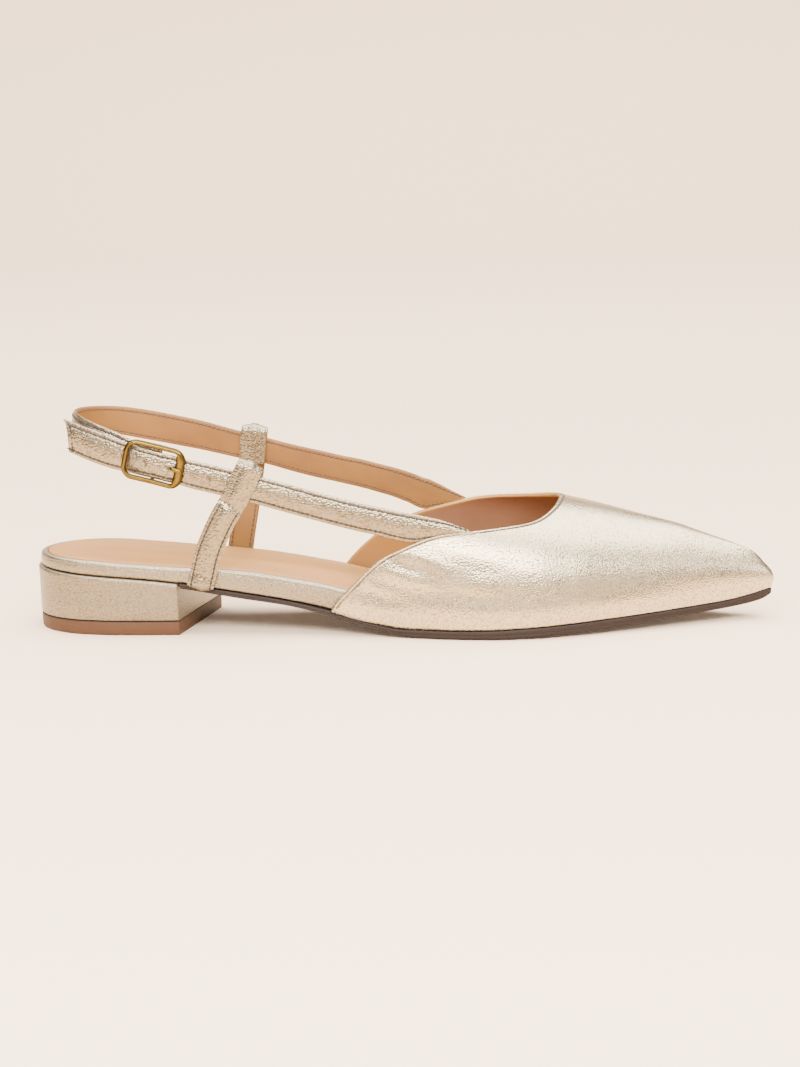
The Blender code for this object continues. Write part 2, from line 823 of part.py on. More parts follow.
def make_sling_strap(material, collection, cutters):
    """The band, whose thin end folds round the buckle's bar."""
    reach = BAR_RADIUS + GAP + 0.3
    middles, acrosses, halves, thicks = band_path(SLING, STRAP_SPACING)
    turn = [math.radians(degrees) for degrees in range(-90, 100, 30)]
    fold = [(reach * math.cos(angle), BAR_DEPTH + reach * math.sin(angle)) for angle in turn]
    fold.append((-2.4, BAR_DEPTH + reach))
    middles += [Vector(buckle_point(along, 0.0, out)) for along, out in fold]
    bar_way = (Vector(buckle_point(0, 1, 0)) - Vector(buckle_point(0, 0, 0))).normalized()
    acrosses += [bar_way] * len(fold)
    halves += [SLING_END_HALF] * len(fold)
    thicks += [SLING_END_THICK] * len(fold)
    strap = ribbon("sling_strap", middles, acrosses, halves, thicks, material, collection)
    slot = make_block_cutter("prong_slot_sling", (0.6, 0.0, BAR_DEPTH), (5.4, 2.2, 5.0), cutters)
    cut(strap, slot)
    return strap


def make_buckle_strap(material, collection, cutters):
    middles, acrosses, halves, thicks = band_path(BUCKLE_STRAP, STRAP_SPACING)
    acrosses[-1] = Vector((-0.36, 0.1, 1.0)).normalized()
    strap = ribbon("buckle_strap", middles, acrosses, halves, thicks, material, collection)
    slot = make_block_cutter("prong_slot_strap", (5.5, 0.0, 1.0), (3.2, 2.0, 6.0), cutters)
    cut(strap, slot)
    return strap


def folded_strap(name, rise, side, material, collection):
    """A side strap: up from the sole edge, over the strap it carries and back down inside."""
    path = [Vector(p) for p in resampled(rise, 5.0)]
    top = path[-1]
    climb = (Vector(rise[-1]) - Vector(rise[-2])).normalized()
    inwards = Vector((0.0, -side, 0.0))
    inwards = (inwards - climb * inwards.dot(climb)).normalized()
    reach = 0.5 * (FOLD_THICK + STRAP_THICK) + 2 * GAP
    steady = len(path)
    for degrees in range(30, 181, 30):
        angle = math.radians(degrees)
        path.append(top + inwards * reach * (1 - math.cos(angle)) + climb * reach * math.sin(angle))
    for step in spread(0.0, 1.0, 4)[1:]:
        path.append(top + inwards * 2 * reach - climb * SIDE_FOLD_BACK * step)
    acrosses = []
    for i, p in enumerate(path):
        along = (path[i + 1] - path[max(i - 1, 0)]).normalized() if i < steady else climb
        out = Vector((0.0, side, 0.0))
        acrosses.append(along.cross(out).normalized())
    halves = [SIDE_STRAP_WIDTH / 2] * len(path)
    return ribbon(name, path, acrosses, halves, [FOLD_THICK] * len(path), material, collection)


def build():
    clear_scene()
    parts = new_collection("sling_back_flat")
    cutters = new_collection("cutters")
    cutters.hide_render = True
    materials = {name: new_material(name) for name in COLOURS}
    gold = materials["gold_leather"]
    brass = materials["antique_brass"]
    make_top_lift(materials["lift_brown"], parts)
    make_heel_block(gold, parts)
    make_outsole(materials["sole_brown"], parts)
    make_footbed(gold, parts)
    make_sock(materials["tan_lining"], parts)
    make_upper(gold, parts)
    make_sling_strap(gold, parts, cutters)
    make_buckle_strap(gold, parts, cutters)
    folded_strap("side_strap_outer", OUTER_RISE, -1, gold, parts)
    folded_strap("side_strap_inner", INNER_RISE, 1, gold, parts)
    make_buckle_frame(brass, parts, cutters)
    make_prong(brass, parts)


build()
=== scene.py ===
# Looks of the sling back flat, a right shoe. +X points to the toe, +Y to the inner side, +Z up.
# Tables are in millimetres with X counted from the back of the sole; toRow() turns them into metres
# in the row's frame.
import math

import bmesh
import bpy
import numpy as np
from mathutils import Matrix, Vector, noise


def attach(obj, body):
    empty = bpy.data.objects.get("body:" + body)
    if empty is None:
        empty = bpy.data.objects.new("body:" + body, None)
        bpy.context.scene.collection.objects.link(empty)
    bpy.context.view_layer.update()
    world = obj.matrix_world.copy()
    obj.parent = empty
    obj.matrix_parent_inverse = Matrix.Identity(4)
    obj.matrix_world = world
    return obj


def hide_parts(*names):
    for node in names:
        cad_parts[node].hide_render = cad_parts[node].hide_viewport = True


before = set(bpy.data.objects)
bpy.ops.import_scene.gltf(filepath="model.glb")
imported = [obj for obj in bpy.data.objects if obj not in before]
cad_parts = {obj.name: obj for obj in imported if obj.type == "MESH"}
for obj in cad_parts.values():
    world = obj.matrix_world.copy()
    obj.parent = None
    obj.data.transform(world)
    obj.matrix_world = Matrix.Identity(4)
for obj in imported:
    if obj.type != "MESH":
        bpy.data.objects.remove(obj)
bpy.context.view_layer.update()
print("frame loaded", len(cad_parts))

# Camera, in the photograph's place
camera = {
    "place": (63.76, -899.85, 189.56),  # mm, in the frame
    "yaw": -0.071822,
    "pitch": 0.173218,
    "roll": -0.021440,
    "lens": 84.717,
    "sensor": 36.0,
}


def placeCamera(c):
    ahead = Vector((
        math.sin(c["yaw"]) * math.cos(c["pitch"]),
        math.cos(c["yaw"]) * math.cos(c["pitch"]),
        -math.sin(c["pitch"]),
    ))
    right = Vector((math.cos(c["yaw"]), -math.sin(c["yaw"]), 0))
    up = right.cross(ahead)
    turnedRight = right * math.cos(c["roll"]) + up * math.sin(c["roll"])
    turnedUp = up * math.cos(c["roll"]) - right * math.sin(c["roll"])
    data = bpy.data.cameras.new("photoCamera")
    data.lens = c["lens"]
    data.sensor_width = c["sensor"]
    data.clip_start = 0.05
    data.clip_end = 50
    obj = bpy.data.objects.new("photoCamera", data)
    bpy.context.scene.collection.objects.link(obj)
    turn = Matrix((turnedRight, turnedUp, -ahead)).transposed()
    obj.matrix_world = Matrix.Translation(Vector(c["place"]) * 0.001) @ turn.to_4x4()
    bpy.context.scene.camera = obj


placeCamera(camera)

# The last and the sole, the same sizes as the solids have
shoe = {
    "length": 267.5,
    "middleX": 133.9,
    "gap": 0.3,
    "liftHeight": 5.2,
    "wall": 1.8,
    "breastX": 54.8,
    "breastSkew": 8.4,
    "skewEndsX": 100.0,
    "toeDrop": 9.0,
    "toeBulge": 1.2,
    "vampBulge": 1.2,
    "vampInset": 0.6,
    "wingFlare": 1.3,
    "ridgeShift": 2.0,
    "rimWidth": 2.5,
    "sockStep": 0.9,
}

# x, outer side, inner side
outline = [
    (0.0, 0.0, 0.0), (2.0, 9.5, 9.5), (6.0, 16.0, 16.0), (12.0, 21.0, 21.0), (20.0, 24.6, 24.6),
    (32.0, 26.6, 26.4), (45.0, 27.0, 26.0), (60.0, 26.8, 24.4), (80.0, 27.0, 22.0), (100.0, 28.4, 21.5),
    (120.0, 31.2, 24.5), (140.0, 35.2, 30.5), (155.0, 38.0, 35.5), (168.0, 39.0, 38.6), (180.0, 38.0, 39.0),
    (195.0, 34.0, 36.0), (210.0, 28.0, 30.0), (225.0, 21.5, 22.8), (240.0, 14.5, 15.3), (252.0, 9.0, 9.4),
    (260.0, 5.6, 5.8), (265.0, 3.0, 3.0), (267.5, 0.0, 0.0),
]

# x, underside, top, rim of the footbed
soleSide = [
    (0.0, 21.1, 23.0, 27.6), (20.0, 20.0, 21.9, 27.0), (41.0, 18.6, 20.5, 25.5), (55.0, 17.0, 18.9, 24.5),
    (67.0, 14.9, 16.8, 23.8), (80.0, 12.7, 14.7, 22.7), (94.0, 10.6, 12.4, 20.6), (107.0, 7.7, 9.5, 18.2),
    (119.0, 4.1, 6.1, 15.0), (127.0, 2.0, 4.3, 12.7), (134.0, 0.7, 3.2, 11.0), (140.0, 0.12, 3.0, 10.0),
    (152.0, 0.0, 3.0, 8.7), (168.0, 0.0, 3.3, 8.3), (178.0, 0.3, 3.7, 8.4), (203.0, 1.5, 4.8, 9.0),
    (232.0, 3.7, 6.3, 10.4), (251.0, 5.0, 7.6, 11.8), (259.0, 6.0, 8.9, 13.0), (264.0, 7.0, 10.0, 13.9),
    (267.5, 8.4, 10.6, 14.6),
]

# x, height of the ridge along the top of the vamp
ridge = [
    (109.0, 60.0), (130.0, 57.0), (150.0, 53.5), (170.0, 50.0), (184.0, 47.0), (191.5, 45.1), (205.3, 41.9),
    (219.8, 38.1), (234.3, 34.3), (241.6, 31.7), (248.8, 29.1), (257.5, 25.8), (268.0, 21.6),
]

# x, exponent of the vamp's section
squarenessRows = [(109.0, 2.6), (150.0, 2.5), (190.0, 2.25), (230.0, 2.1), (268.0, 2.35)]

# x, z along the topline of each wing, up to the throat's middle
toplineOuter = [
    (109.8, 10.0), (112.4, 13.5), (116.1, 17.2), (119.7, 20.9), (123.3, 24.5), (126.8, 27.4), (130.3, 29.7),
    (135.5, 32.2), (142.0, 35.0), (147.7, 36.8), (154.6, 37.9), (161.6, 38.2), (168.6, 38.9), (175.6, 39.4),
    (180.5, 39.9), (184.5, 41.0), (187.6, 42.6), (190.0, 44.2), (191.5, 45.1),
]
toplineInner = [
    (105.0, 10.2), (107.6, 13.5), (110.9, 17.1), (113.2, 19.8), (116.2, 22.9), (119.2, 25.6), (122.6, 28.4),
    (127.1, 31.2), (130.9, 33.3), (135.1, 35.2), (140.0, 36.9), (146.1, 38.4), (153.7, 40.2), (161.3, 41.9),
    (168.8, 42.7), (176.7, 43.2), (184.0, 43.9), (188.5, 44.5), (191.5, 45.1),
]


def toRow(points):
    return (np.asarray(points, float) - (shoe["middleX"], 0, 0)) * 0.001


def hermite(xs, ys, tangents):
    def value(x):
        x = np.clip(np.asarray(x, float), xs[0], xs[-1])
        i = np.clip(np.searchsorted(xs, x, side="right") - 1, 0, len(xs) - 2)
        h = xs[i + 1] - xs[i]
        t = (x - xs[i]) / h
        start = (2 * t**3 - 3 * t**2 + 1) * ys[i] + (t**3 - 2 * t**2 + t) * h * tangents[i]
        return start + (3 * t**2 - 2 * t**3) * ys[i + 1] + (t**3 - t**2) * h * tangents[i + 1]

    return value


def steadyCurve(xs, ys):  # keeps free of overshoot
    xs, ys = np.array(xs, float), np.array(ys, float)
    steps = np.diff(ys) / np.diff(xs)
    before, after = steps[:-1], steps[1:]
    sameWay = before * after > 0
    total = np.where(sameWay, before + after, 1.0)
    inner = np.where(sameWay, 2 * before * after / total, 0.0)
    return hermite(xs, ys, np.concatenate([[steps[0]], inner, [steps[-1]]]))


def flowingCurve(xs, ys):  # takes each slope from the two neighbours
    xs, ys = np.array(xs, float), np.array(ys, float)
    return hermite(xs, ys, np.gradient(ys, xs))


def column(rows, number, order=1):
    return steadyCurve([row[0] for row in rows], [row[number] ** order for row in rows])


outerSquared, innerSquared = column(outline, 1, 2), column(outline, 2, 2)
soleUnder, soleTop, rimTop = column(soleSide, 1), column(soleSide, 2), column(soleSide, 3)
ridgeHeight, squareness = column(ridge, 1), column(squarenessRows, 1)


def sideY(x, side):
    return side * np.sqrt(np.maximum(outerSquared(x) if side < 0 else innerSquared(x), 0.0))


def edgePoint(x, side, inset):  # a point of the sole's outline, moved in by inset
    ahead, behind = min(x + 0.2, shoe["length"]), max(x - 0.2, 0.0)
    along = Vector((ahead - behind, float(sideY(ahead, side) - sideY(behind, side)))).normalized()
    return x + along.y * side * inset, float(sideY(x, side)) - along.x * side * inset


def skewed(x):  # the heel breast stands askew
    leftOver = (shoe["skewEndsX"] - x) / (shoe["skewEndsX"] - shoe["breastX"])
    return x + shoe["breastSkew"] * min(max(leftOver, 0.0), 1.0)


def bump(x, middle, width):
    return np.exp(-(((x - middle) / width) ** 2))


def ramp(x, start, end):
    t = np.clip((x - start) / (end - start), 0, 1)
    return t * t * (3 - 2 * t)


# Meshes
def meshObject(name, verts, faces, materials, picks=None, marks=None, sharp=None):
    mesh = bpy.data.meshes.new(name)
    mesh.from_pydata(np.asarray(verts).tolist(), [], faces)
    for material in materials:
        mesh.materials.append(material)
    if picks is not None:
        mesh.polygons.foreach_set("material_index", np.asarray(picks, dtype=np.int32))
    for mark, values in (marks or {}).items():
        layer = mesh.attributes.new(mark, "FLOAT", "POINT")
        layer.data.foreach_set("value", np.asarray(values, dtype=np.float32))
    body = bmesh.new()
    body.from_mesh(mesh)
    bmesh.ops.remove_doubles(body, verts=body.verts, dist=0.000004)
    bmesh.ops.recalc_face_normals(body, faces=body.faces)
    body.to_mesh(mesh)
    body.free()
    mesh.shade_smooth()
    if sharp:
        mesh.set_sharp_from_angle(angle=math.radians(sharp))
    obj = bpy.data.objects.new(name, mesh)
    bpy.context.scene.collection.objects.link(obj)
    return obj


def gridFaces(rows, cols, closed=False):  # closed joins the last column to the first
    faces = []
    for i in range(rows - 1):
        for k in range(cols if closed else cols - 1):
            n = (k + 1) % cols
            faces.append((i * cols + k, i * cols + n, (i + 1) * cols + n, (i + 1) * cols + k))
    return faces


def finishPiece(obj, slot, *nodes):
    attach(obj, "root")
    if nodes:
        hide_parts(*nodes)
    obj.data.validate()
    return obj


# Materials
def newMaterial(name, colour, roughness, metallic=0.0, **values):
    material = bpy.data.materials.new(name)
    material.use_nodes = True
    shader = material.node_tree.nodes["Principled BSDF"]
    shader.inputs["Base Color"].default_value = (*colour, 1)
    shader.inputs["Roughness"].default_value = roughness
    shader.inputs["Metallic"].default_value = metallic
    for socket, value in values.items():
        shader.inputs[socket.replace("_", " ")].default_value = value
    return material


def addNode(tree, kind, inputs=None, **values):
    node = tree.nodes.new(kind)
    for key, value in values.items():
        setattr(node, key, value)
    for name, value in (inputs or {}).items():
        node.inputs[name].default_value = value
    return node


def link(tree, start, end):
    tree.links.new(start, end)


def feed(tree, socket, value):  # a colour, a number or another node's output
    if isinstance(value, tuple):
        socket.default_value = (*value, 1)
    elif isinstance(value, (int, float)):
        socket.default_value = value
    else:
        link(tree, value, socket)


def mathNode(tree, operation, a, b, clamp=False):
    node = addNode(tree, "ShaderNodeMath", operation=operation, use_clamp=clamp)
    feed(tree, node.inputs[0], a)
    feed(tree, node.inputs[1], b)
    return node.outputs[0]


def blackToWhite(tree, value, start, end):
    node = addNode(tree, "ShaderNodeValToRGB")
    for element, place, shade in zip(node.color_ramp.elements, (start, end), (0, 1)):
        element.position = place
        element.color = (shade, shade, shade, 1)
    link(tree, value, node.inputs["Fac"])
    return node.outputs["Color"]


def mixColours(tree, share, a, b):
    node = addNode(tree, "ShaderNodeMix", data_type="RGBA")
    for name, value in (("Factor", share), ("A", a), ("B", b)):
        feed(tree, node.inputs[name], value)
    return node.outputs["Result"]


def objectPlace(tree):
    return addNode(tree, "ShaderNodeTexCoord").outputs["Object"]


def noiseNode(tree, place, scale, detail):
    node = addNode(tree, "ShaderNodeTexNoise", {"Scale": scale, "Detail": detail})
    link(tree, place, node.inputs["Vector"])
    return node


def paintedShadeMark(tree, share):  # the piece's own mask of painted shade: darker in grooves, folds, holes, where parts meet and on the buckle wire's side faces
    paintedShade = addNode(tree, "ShaderNodeAttribute", attribute_name="paintedShade").outputs["Fac"]
    return mathNode(tree, "MULTIPLY", paintedShade, share, clamp=True)


grain = {
    "warpScale": 1100,
    "warpReach": 0.0003,
    "crumpleScale": 3200,
    "pillow": -1.6,
    "cloudScale": 45,
    "valley": (0.42, 0.72),
}


def makeGrainGroup():  # pebbled leather: cells with soft valleys, and a fine crumple over them
    group = bpy.data.node_groups.new("leatherGrain", "ShaderNodeTree")
    for name, value in (("Cell", 0.9), ("Depth", 0.1), ("Crumple", 0.04)):  # mm
        socket = group.interface.new_socket(name, in_out="INPUT", socket_type="NodeSocketFloat")
        socket.default_value = value
    for name, kind in (("Normal", "Vector"), ("Valley", "Float"), ("Cloud", "Float")):
        group.interface.new_socket(name, in_out="OUTPUT", socket_type="NodeSocket" + kind)
    entry, leave = addNode(group, "NodeGroupInput"), addNode(group, "NodeGroupOutput")
    place = objectPlace(group)
    warp = noiseNode(group, place, grain["warpScale"], 1)
    shift = addNode(group, "ShaderNodeVectorMath", {1: (grain["warpReach"],) * 3}, operation="MULTIPLY_ADD")
    link(group, warp.outputs["Color"], shift.inputs[0])
    link(group, place, shift.inputs[2])
    cells = addNode(group, "ShaderNodeTexVoronoi", feature="F1")
    link(group, shift.outputs[0], cells.inputs["Vector"])
    link(group, mathNode(group, "DIVIDE", 1000.0, entry.outputs["Cell"]), cells.inputs["Scale"])
    pillow = mathNode(group, "POWER", cells.outputs["Distance"], 2.0)
    pillow = mathNode(group, "MULTIPLY", pillow, grain["pillow"])
    pillow = mathNode(group, "MULTIPLY", pillow, entry.outputs["Depth"])
    fine = noiseNode(group, place, grain["crumpleScale"], 2)
    crumple = mathNode(group, "MULTIPLY", fine.outputs["Fac"], entry.outputs["Crumple"])
    relief = addNode(group, "ShaderNodeBump", {"Distance": 0.001})
    link(group, mathNode(group, "ADD", pillow, crumple), relief.inputs["Height"])
    link(group, relief.outputs["Normal"], leave.inputs["Normal"])
    link(group, blackToWhite(group, cells.outputs["Distance"], *grain["valley"]), leave.inputs["Valley"])
    link(group, noiseNode(group, place, grain["cloudScale"], 3).outputs["Fac"], leave.inputs["Cloud"])
    return group


grainGroup = makeGrainGroup()


def grainNode(tree, cell, depth, crumple):
    return addNode(tree, "ShaderNodeGroup", {"Cell": cell, "Depth": depth, "Crumple": crumple},
                   node_tree=grainGroup)


# Champagne leather; each use has its own grain, in mm, and its own painted shade in the valleys between the
# pebbles
goldLooks = {
    "vamp": {"cell": 0.68, "depth": 0.056, "crumple": 0.008, "rough": 0.27, "valleyShade": 0.45,
             "light": (0.68, 0.555, 0.365)},
    # the strap, rand and heel copies are the vamp's champagne leather with darker base colours: painted shade
    # for their darker surroundings and shaded places
    "strap": {"cell": 0.95, "depth": 0.115, "crumple": 0.008, "rough": 0.27, "valleyShade": 0.60,
              "light": (0.33, 0.272, 0.185)},
    "rand": {"cell": 0.62, "depth": 0.080, "crumple": 0.014, "rough": 0.36, "valleyShade": 0.45,
             "light": (0.37, 0.310, 0.220)},
    "heel": {"cell": 0.62, "depth": 0.100, "crumple": 0.018, "rough": 0.36, "valleyShade": 0.60,
             "light": (0.32, 0.270, 0.197)},
    "deep": (0.20, 0.135, 0.07),
    # painted shade from the piece's mask: grooves, folds and joints are darkened, and made duller
    "paintedShadeColour": (0.24, 0.17, 0.10),
    "paintedShadeShare": 0.35,
    "seamDull": 0.3,
    "cloud": 0.12,
    "metallic": 0.92,
}


def goldLeather(use):
    look = goldLooks[use]
    material = newMaterial(use + "Gold", look["light"], look["rough"], goldLooks["metallic"])
    tree = material.node_tree
    shader = tree.nodes["Principled BSDF"]
    pebbles = grainNode(tree, look["cell"], look["depth"], look["crumple"])
    valleyShade = mathNode(tree, "MULTIPLY", pebbles.outputs["Valley"], look["valleyShade"])
    body = mixColours(tree, valleyShade, look["light"], goldLooks["deep"])
    paintedShade = paintedShadeMark(tree, goldLooks["paintedShadeShare"])
    link(tree, mixColours(tree, paintedShade, body, goldLooks["paintedShadeColour"]), shader.inputs["Base Color"])
    dull = mathNode(tree, "MULTIPLY", pebbles.outputs["Cloud"], goldLooks["cloud"])
    dull = mathNode(tree, "ADD", dull, look["rough"] - goldLooks["cloud"] / 2)
    dull = mathNode(tree, "ADD", dull, mathNode(tree, "MULTIPLY", paintedShade, goldLooks["seamDull"]))
    link(tree, dull, shader.inputs["Roughness"])
    link(tree, pebbles.outputs["Normal"], shader.inputs["Normal"])
    return material


# Smooth leathers of the lining and the sock, with soft streaks
liningLooks = {
    "strap": {"colour": (0.25, 0.105, 0.013), "deep": (0.20, 0.078, 0.009),
              "rough": 0.62, "streak": (60, 60, 60)},
    "vamp": {"colour": (0.29, 0.145, 0.082), "deep": (0.22, 0.10, 0.055),
             "rough": 0.42, "streak": (25, 60, 40)},
    "sock": {"colour": (0.39, 0.175, 0.036), "deep": (0.29, 0.12, 0.024),
             "rough": 0.50, "streak": (9, 60, 60)},
    "grain": (0.5, 0.022, 0.012),
    "streakShare": (0.35, 0.7),
    # painted shade from the piece's mask along the strap lining's stitch lines and at the sock's edge against
    # the rand
    "paintedShadeColour": (0.22, 0.10, 0.05),
    "paintedShadeShare": 0.75,
}


def smoothLeather(name, look):
    material = newMaterial(name, look["colour"], look["rough"])
    tree = material.node_tree
    shader = tree.nodes["Principled BSDF"]
    stretch = addNode(tree, "ShaderNodeMapping", {"Scale": look["streak"]})
    link(tree, objectPlace(tree), stretch.inputs["Vector"])
    streaks = noiseNode(tree, stretch.outputs[0], 1.0, 4)
    share = blackToWhite(tree, streaks.outputs["Fac"], *liningLooks["streakShare"])
    body = mixColours(tree, share, look["colour"], look["deep"])
    paintedShade = paintedShadeMark(tree, liningLooks["paintedShadeShare"])
    link(tree, mixColours(tree, paintedShade, body, liningLooks["paintedShadeColour"]), shader.inputs["Base Color"])
    link(tree, grainNode(tree, *liningLooks["grain"]).outputs["Normal"], shader.inputs["Normal"])
    return material


soleLooks = {
    "sole": {"colour": (0.020, 0.010, 0.008), "deep": (0.012, 0.006, 0.005), "rough": 0.60, "speck": 700},
    "lift": {"colour": (0.095, 0.042, 0.020), "deep": (0.075, 0.032, 0.015), "rough": 0.60, "speck": 500},
    # painted shade from the piece's mask in the edge groove and where the sole and lift meet the parts above
    "paintedShadeColour": (0.02, 0.010, 0.008),
    "paintedShadeShare": 0.85,
    "shine": 0.3,
    "relief": 0.0001,
}


def soleBoard(use):
    look = soleLooks[use]
    material = newMaterial(use + "Brown", look["colour"], look["rough"],
                           Specular_IOR_Level=soleLooks["shine"])
    tree = material.node_tree
    shader = tree.nodes["Principled BSDF"]
    specks = noiseNode(tree, objectPlace(tree), look["speck"], 4).outputs["Fac"]
    body = mixColours(tree, specks, look["colour"], look["deep"])
    paintedShade = paintedShadeMark(tree, soleLooks["paintedShadeShare"])
    link(tree, mixColours(tree, paintedShade, body, soleLooks["paintedShadeColour"]), shader.inputs["Base Color"])
    relief = addNode(tree, "ShaderNodeBump", {"Distance": soleLooks["relief"], "Strength": 0.5})
    link(tree, specks, relief.inputs["Height"])
    link(tree, relief.outputs["Normal"], shader.inputs["Normal"])
    return material


brassLooks = {
    "bright": (0.20, 0.125, 0.026),
    "dark": (0.014, 0.009, 0.004),
    "rough": 0.2,
    "darkRough": 0.25,
    "patinaScale": 420,
    "patina": 0.45,
    # hollow: how strongly the painted shade mask darkens the brass; it marks the wire's side faces and the
    # bar, not hollows
    "hollow": 0.9,
}


def brassMaterial():  # antique brass: random patina clouds, and painted shade from the piece's mask on the wire's side faces and the bar, standing for dark reflections
    material = newMaterial("antiqueBrass", brassLooks["bright"], brassLooks["rough"], 1.0)
    tree = material.node_tree
    shader = tree.nodes["Principled BSDF"]
    patina = noiseNode(tree, objectPlace(tree), brassLooks["patinaScale"], 4)
    clouds = blackToWhite(tree, patina.outputs["Fac"], 0.35, 0.7)
    cloudy = mathNode(tree, "MULTIPLY", clouds, brassLooks["patina"])
    shade = mathNode(tree, "MAXIMUM", cloudy, paintedShadeMark(tree, brassLooks["hollow"]))
    link(tree, mixColours(tree, shade, brassLooks["bright"], brassLooks["dark"]), shader.inputs["Base Color"])
    rough = mathNode(tree, "MULTIPLY", shade, brassLooks["darkRough"])
    link(tree, mathNode(tree, "ADD", rough, brassLooks["rough"]), shader.inputs["Roughness"])
    return material


vampGold, strapGold, randGold, heelGold = [goldLeather(use) for use in ("vamp", "strap", "rand", "heel")]
strapLining = smoothLeather("strapLining", liningLooks["strap"])
vampLining = smoothLeather("vampLining", liningLooks["vamp"])
sockLeather = smoothLeather("sockLeather", liningLooks["sock"])
soleBrown, liftBrown = soleBoard("sole"), soleBoard("lift")
brass = brassMaterial()
strapThread = newMaterial("strapThread", (0.030, 0.020, 0.013), 0.6)
toplineThread = newMaterial("toplineThread", (0.12, 0.07, 0.03), 0.55)
liningThread = newMaterial("liningThread", (0.12, 0.055, 0.02), 0.6)
# a dark dot in each needle hole: painted shade
needleHoleShade = newMaterial("needleHoleShade", (0.05, 0.032, 0.02), 0.8)
print("materials made")


# Upper: a vamp with two wings, one wall from the outer leather over the folded topline to the lining
upper = {
    "lines": 104,  # across each half
    "rows": 120,  # toe to topline
    "topRows": 24,  # fine rows next to the topline
    "rollSteps": 7,
    "seamInset": 1.5,
    "seamDepth": 0.24,
    "seamWidth": 0.36,
    "foldPuff": 0.06,
    "goldInside": 5,  # the rows that the gold ends short of the roll's end
    "facingRows": 9,  # tan facing inside the topline
    "wingLining": 138.0,  # x: behind it the whole lining is tan
    "unevenness": 0.10,
    # start x, z, end x, z, width, depth: soft folds on the outer wing
    "creases": [
        (122.0, 21.6, 156.0, 15.4, 2.4, 0.26),
        (131.0, 25.8, 164.0, 20.8, 2.7, 0.24),
        (116.0, 17.6, 142.0, 13.2, 2.1, 0.22),
        (127.0, 29.0, 150.0, 25.4, 2.3, 0.18),
        (141.0, 20.2, 176.0, 14.6, 3.0, 0.20),
        (146.0, 28.0, 176.0, 23.5, 3.2, 0.16),
    ],
    "creaseSag": 1.2,
    "wrinkle": 0.07,
    "fullness": (0.55, 5.6, 4.2),  # low on the wall: how far out, height over the sole's top, width
}


def wingFlare(x):
    return shoe["wingFlare"] * np.clip((131.0 - x) / 22.0, 0, 1)


def sectionPoint(x, footX, t, side):  # t runs from the sole edge (0) up to the ridge (1)
    power = 2.0 / squareness(x)
    across = np.maximum(np.cos(0.5 * np.pi * t), 0) ** power
    up = np.sin(0.5 * np.pi * t) ** power
    ridgeY = shoe["ridgeShift"] * np.clip((262.0 - x) / 60.0, 0, 1)
    footY = sideY(footX, side)
    footY = footY - side * np.minimum(shoe["vampInset"] - wingFlare(footX), np.abs(footY))
    swell = np.where(t < 0.7, shoe["vampBulge"] * np.sin(np.pi * t / 0.7), 0)
    swell = swell * np.clip(np.abs(footY) / 8, 0, 1)
    base = soleTop(footX) + shoe["gap"]
    y = ridgeY + (footY - ridgeY) * across + side * swell
    return np.stack([x, y, base + (ridgeHeight(x) - base) * up], -1)


def toplineTurn(rows):  # x of the topline for each t
    rows = np.array(rows)
    base = soleTop(rows[:, 0]) + shoe["gap"]
    share = np.clip((rows[:, 1] - base) / (ridgeHeight(rows[:, 0]) - base), 0, 1)
    turns = np.arcsin(share ** (squareness(rows[:, 0]) / 2)) / (0.5 * np.pi)
    turns[0], turns[-1] = 0, 1
    return steadyCurve(turns, rows[:, 0])


def vampPoint(s, t, side, topline):  # s runs from the toe (0) to the topline (1)
    swell = np.where(t < 0.52, shoe["toeBulge"] * np.sin(np.pi * t / 0.52), 0)
    tip = shoe["length"] - shoe["toeDrop"] * (1 - np.cos(0.5 * np.pi * t)) + swell
    x = tip + (topline(t) - tip) * s
    lead = np.clip((x - 200) / (tip - 200), 0, 1)
    return sectionPoint(x, x + (shoe["length"] - tip) * lead**2, t, side)


def unit(v):
    return v / np.maximum(np.linalg.norm(v, axis=-1, keepdims=True), 1e-9)


def surfaceNormals(points, side):
    along = np.gradient(points, axis=1)
    around = np.gradient(points, axis=0)
    return unit(np.cross(along, around)) * side


class VampHalf:
    def __init__(self, side, rows):
        self.side = side
        self.topline = toplineTurn(rows)
        self.turns = self.evenTurns(upper["lines"])

    def at(self, s, t):
        return vampPoint(np.clip(s, 0, 1), np.clip(t, 0, 1), self.side, self.topline)

    def evenTurns(self, count):  # t values spread evenly by the length along topline and mid section
        fine = np.linspace(0, 1, 900)
        total = np.zeros(900)
        for s, share in ((1.0, 0.6), (0.5, 0.4)):
            steps = np.linalg.norm(np.diff(self.at(s * np.ones(900), fine), axis=0), axis=1)
            total[1:] += share * np.cumsum(steps) / steps.sum()
        return np.interp(np.linspace(0, 1, count), total, fine)

    def inFrom(self, t, inset):  # the surface place that lies inset from the topline: shifts of s and t
        step = 0.002
        here = self.at(np.ones_like(t), t)
        alongS = (here - self.at((1 - step) * np.ones_like(t), t)) / step
        low, high = np.clip(t - step, 0, 1), np.clip(t + step, 0, 1)
        alongT = (self.at(np.ones_like(t), high) - self.at(np.ones_like(t), low)) / (high - low)[:, None]
        normal = unit(np.cross(alongS, alongT))
        inwards = unit(np.cross(normal, alongT))
        inwards *= -np.sign((inwards * alongS).sum(1))[:, None]
        want = inwards * inset
        a, b, c = (alongS**2).sum(1), (alongS * alongT).sum(1), (alongT**2).sum(1)
        p, q = (want * alongS).sum(1), (want * alongT).sum(1)
        det = np.maximum(a * c - b * b, 1e-6)
        ends = np.clip(t / 0.06, 0, 1) * np.clip((1 - t) / 0.06, 0, 1)
        return (c * p - b * q) / det, (a * q - b * p) / det * ends


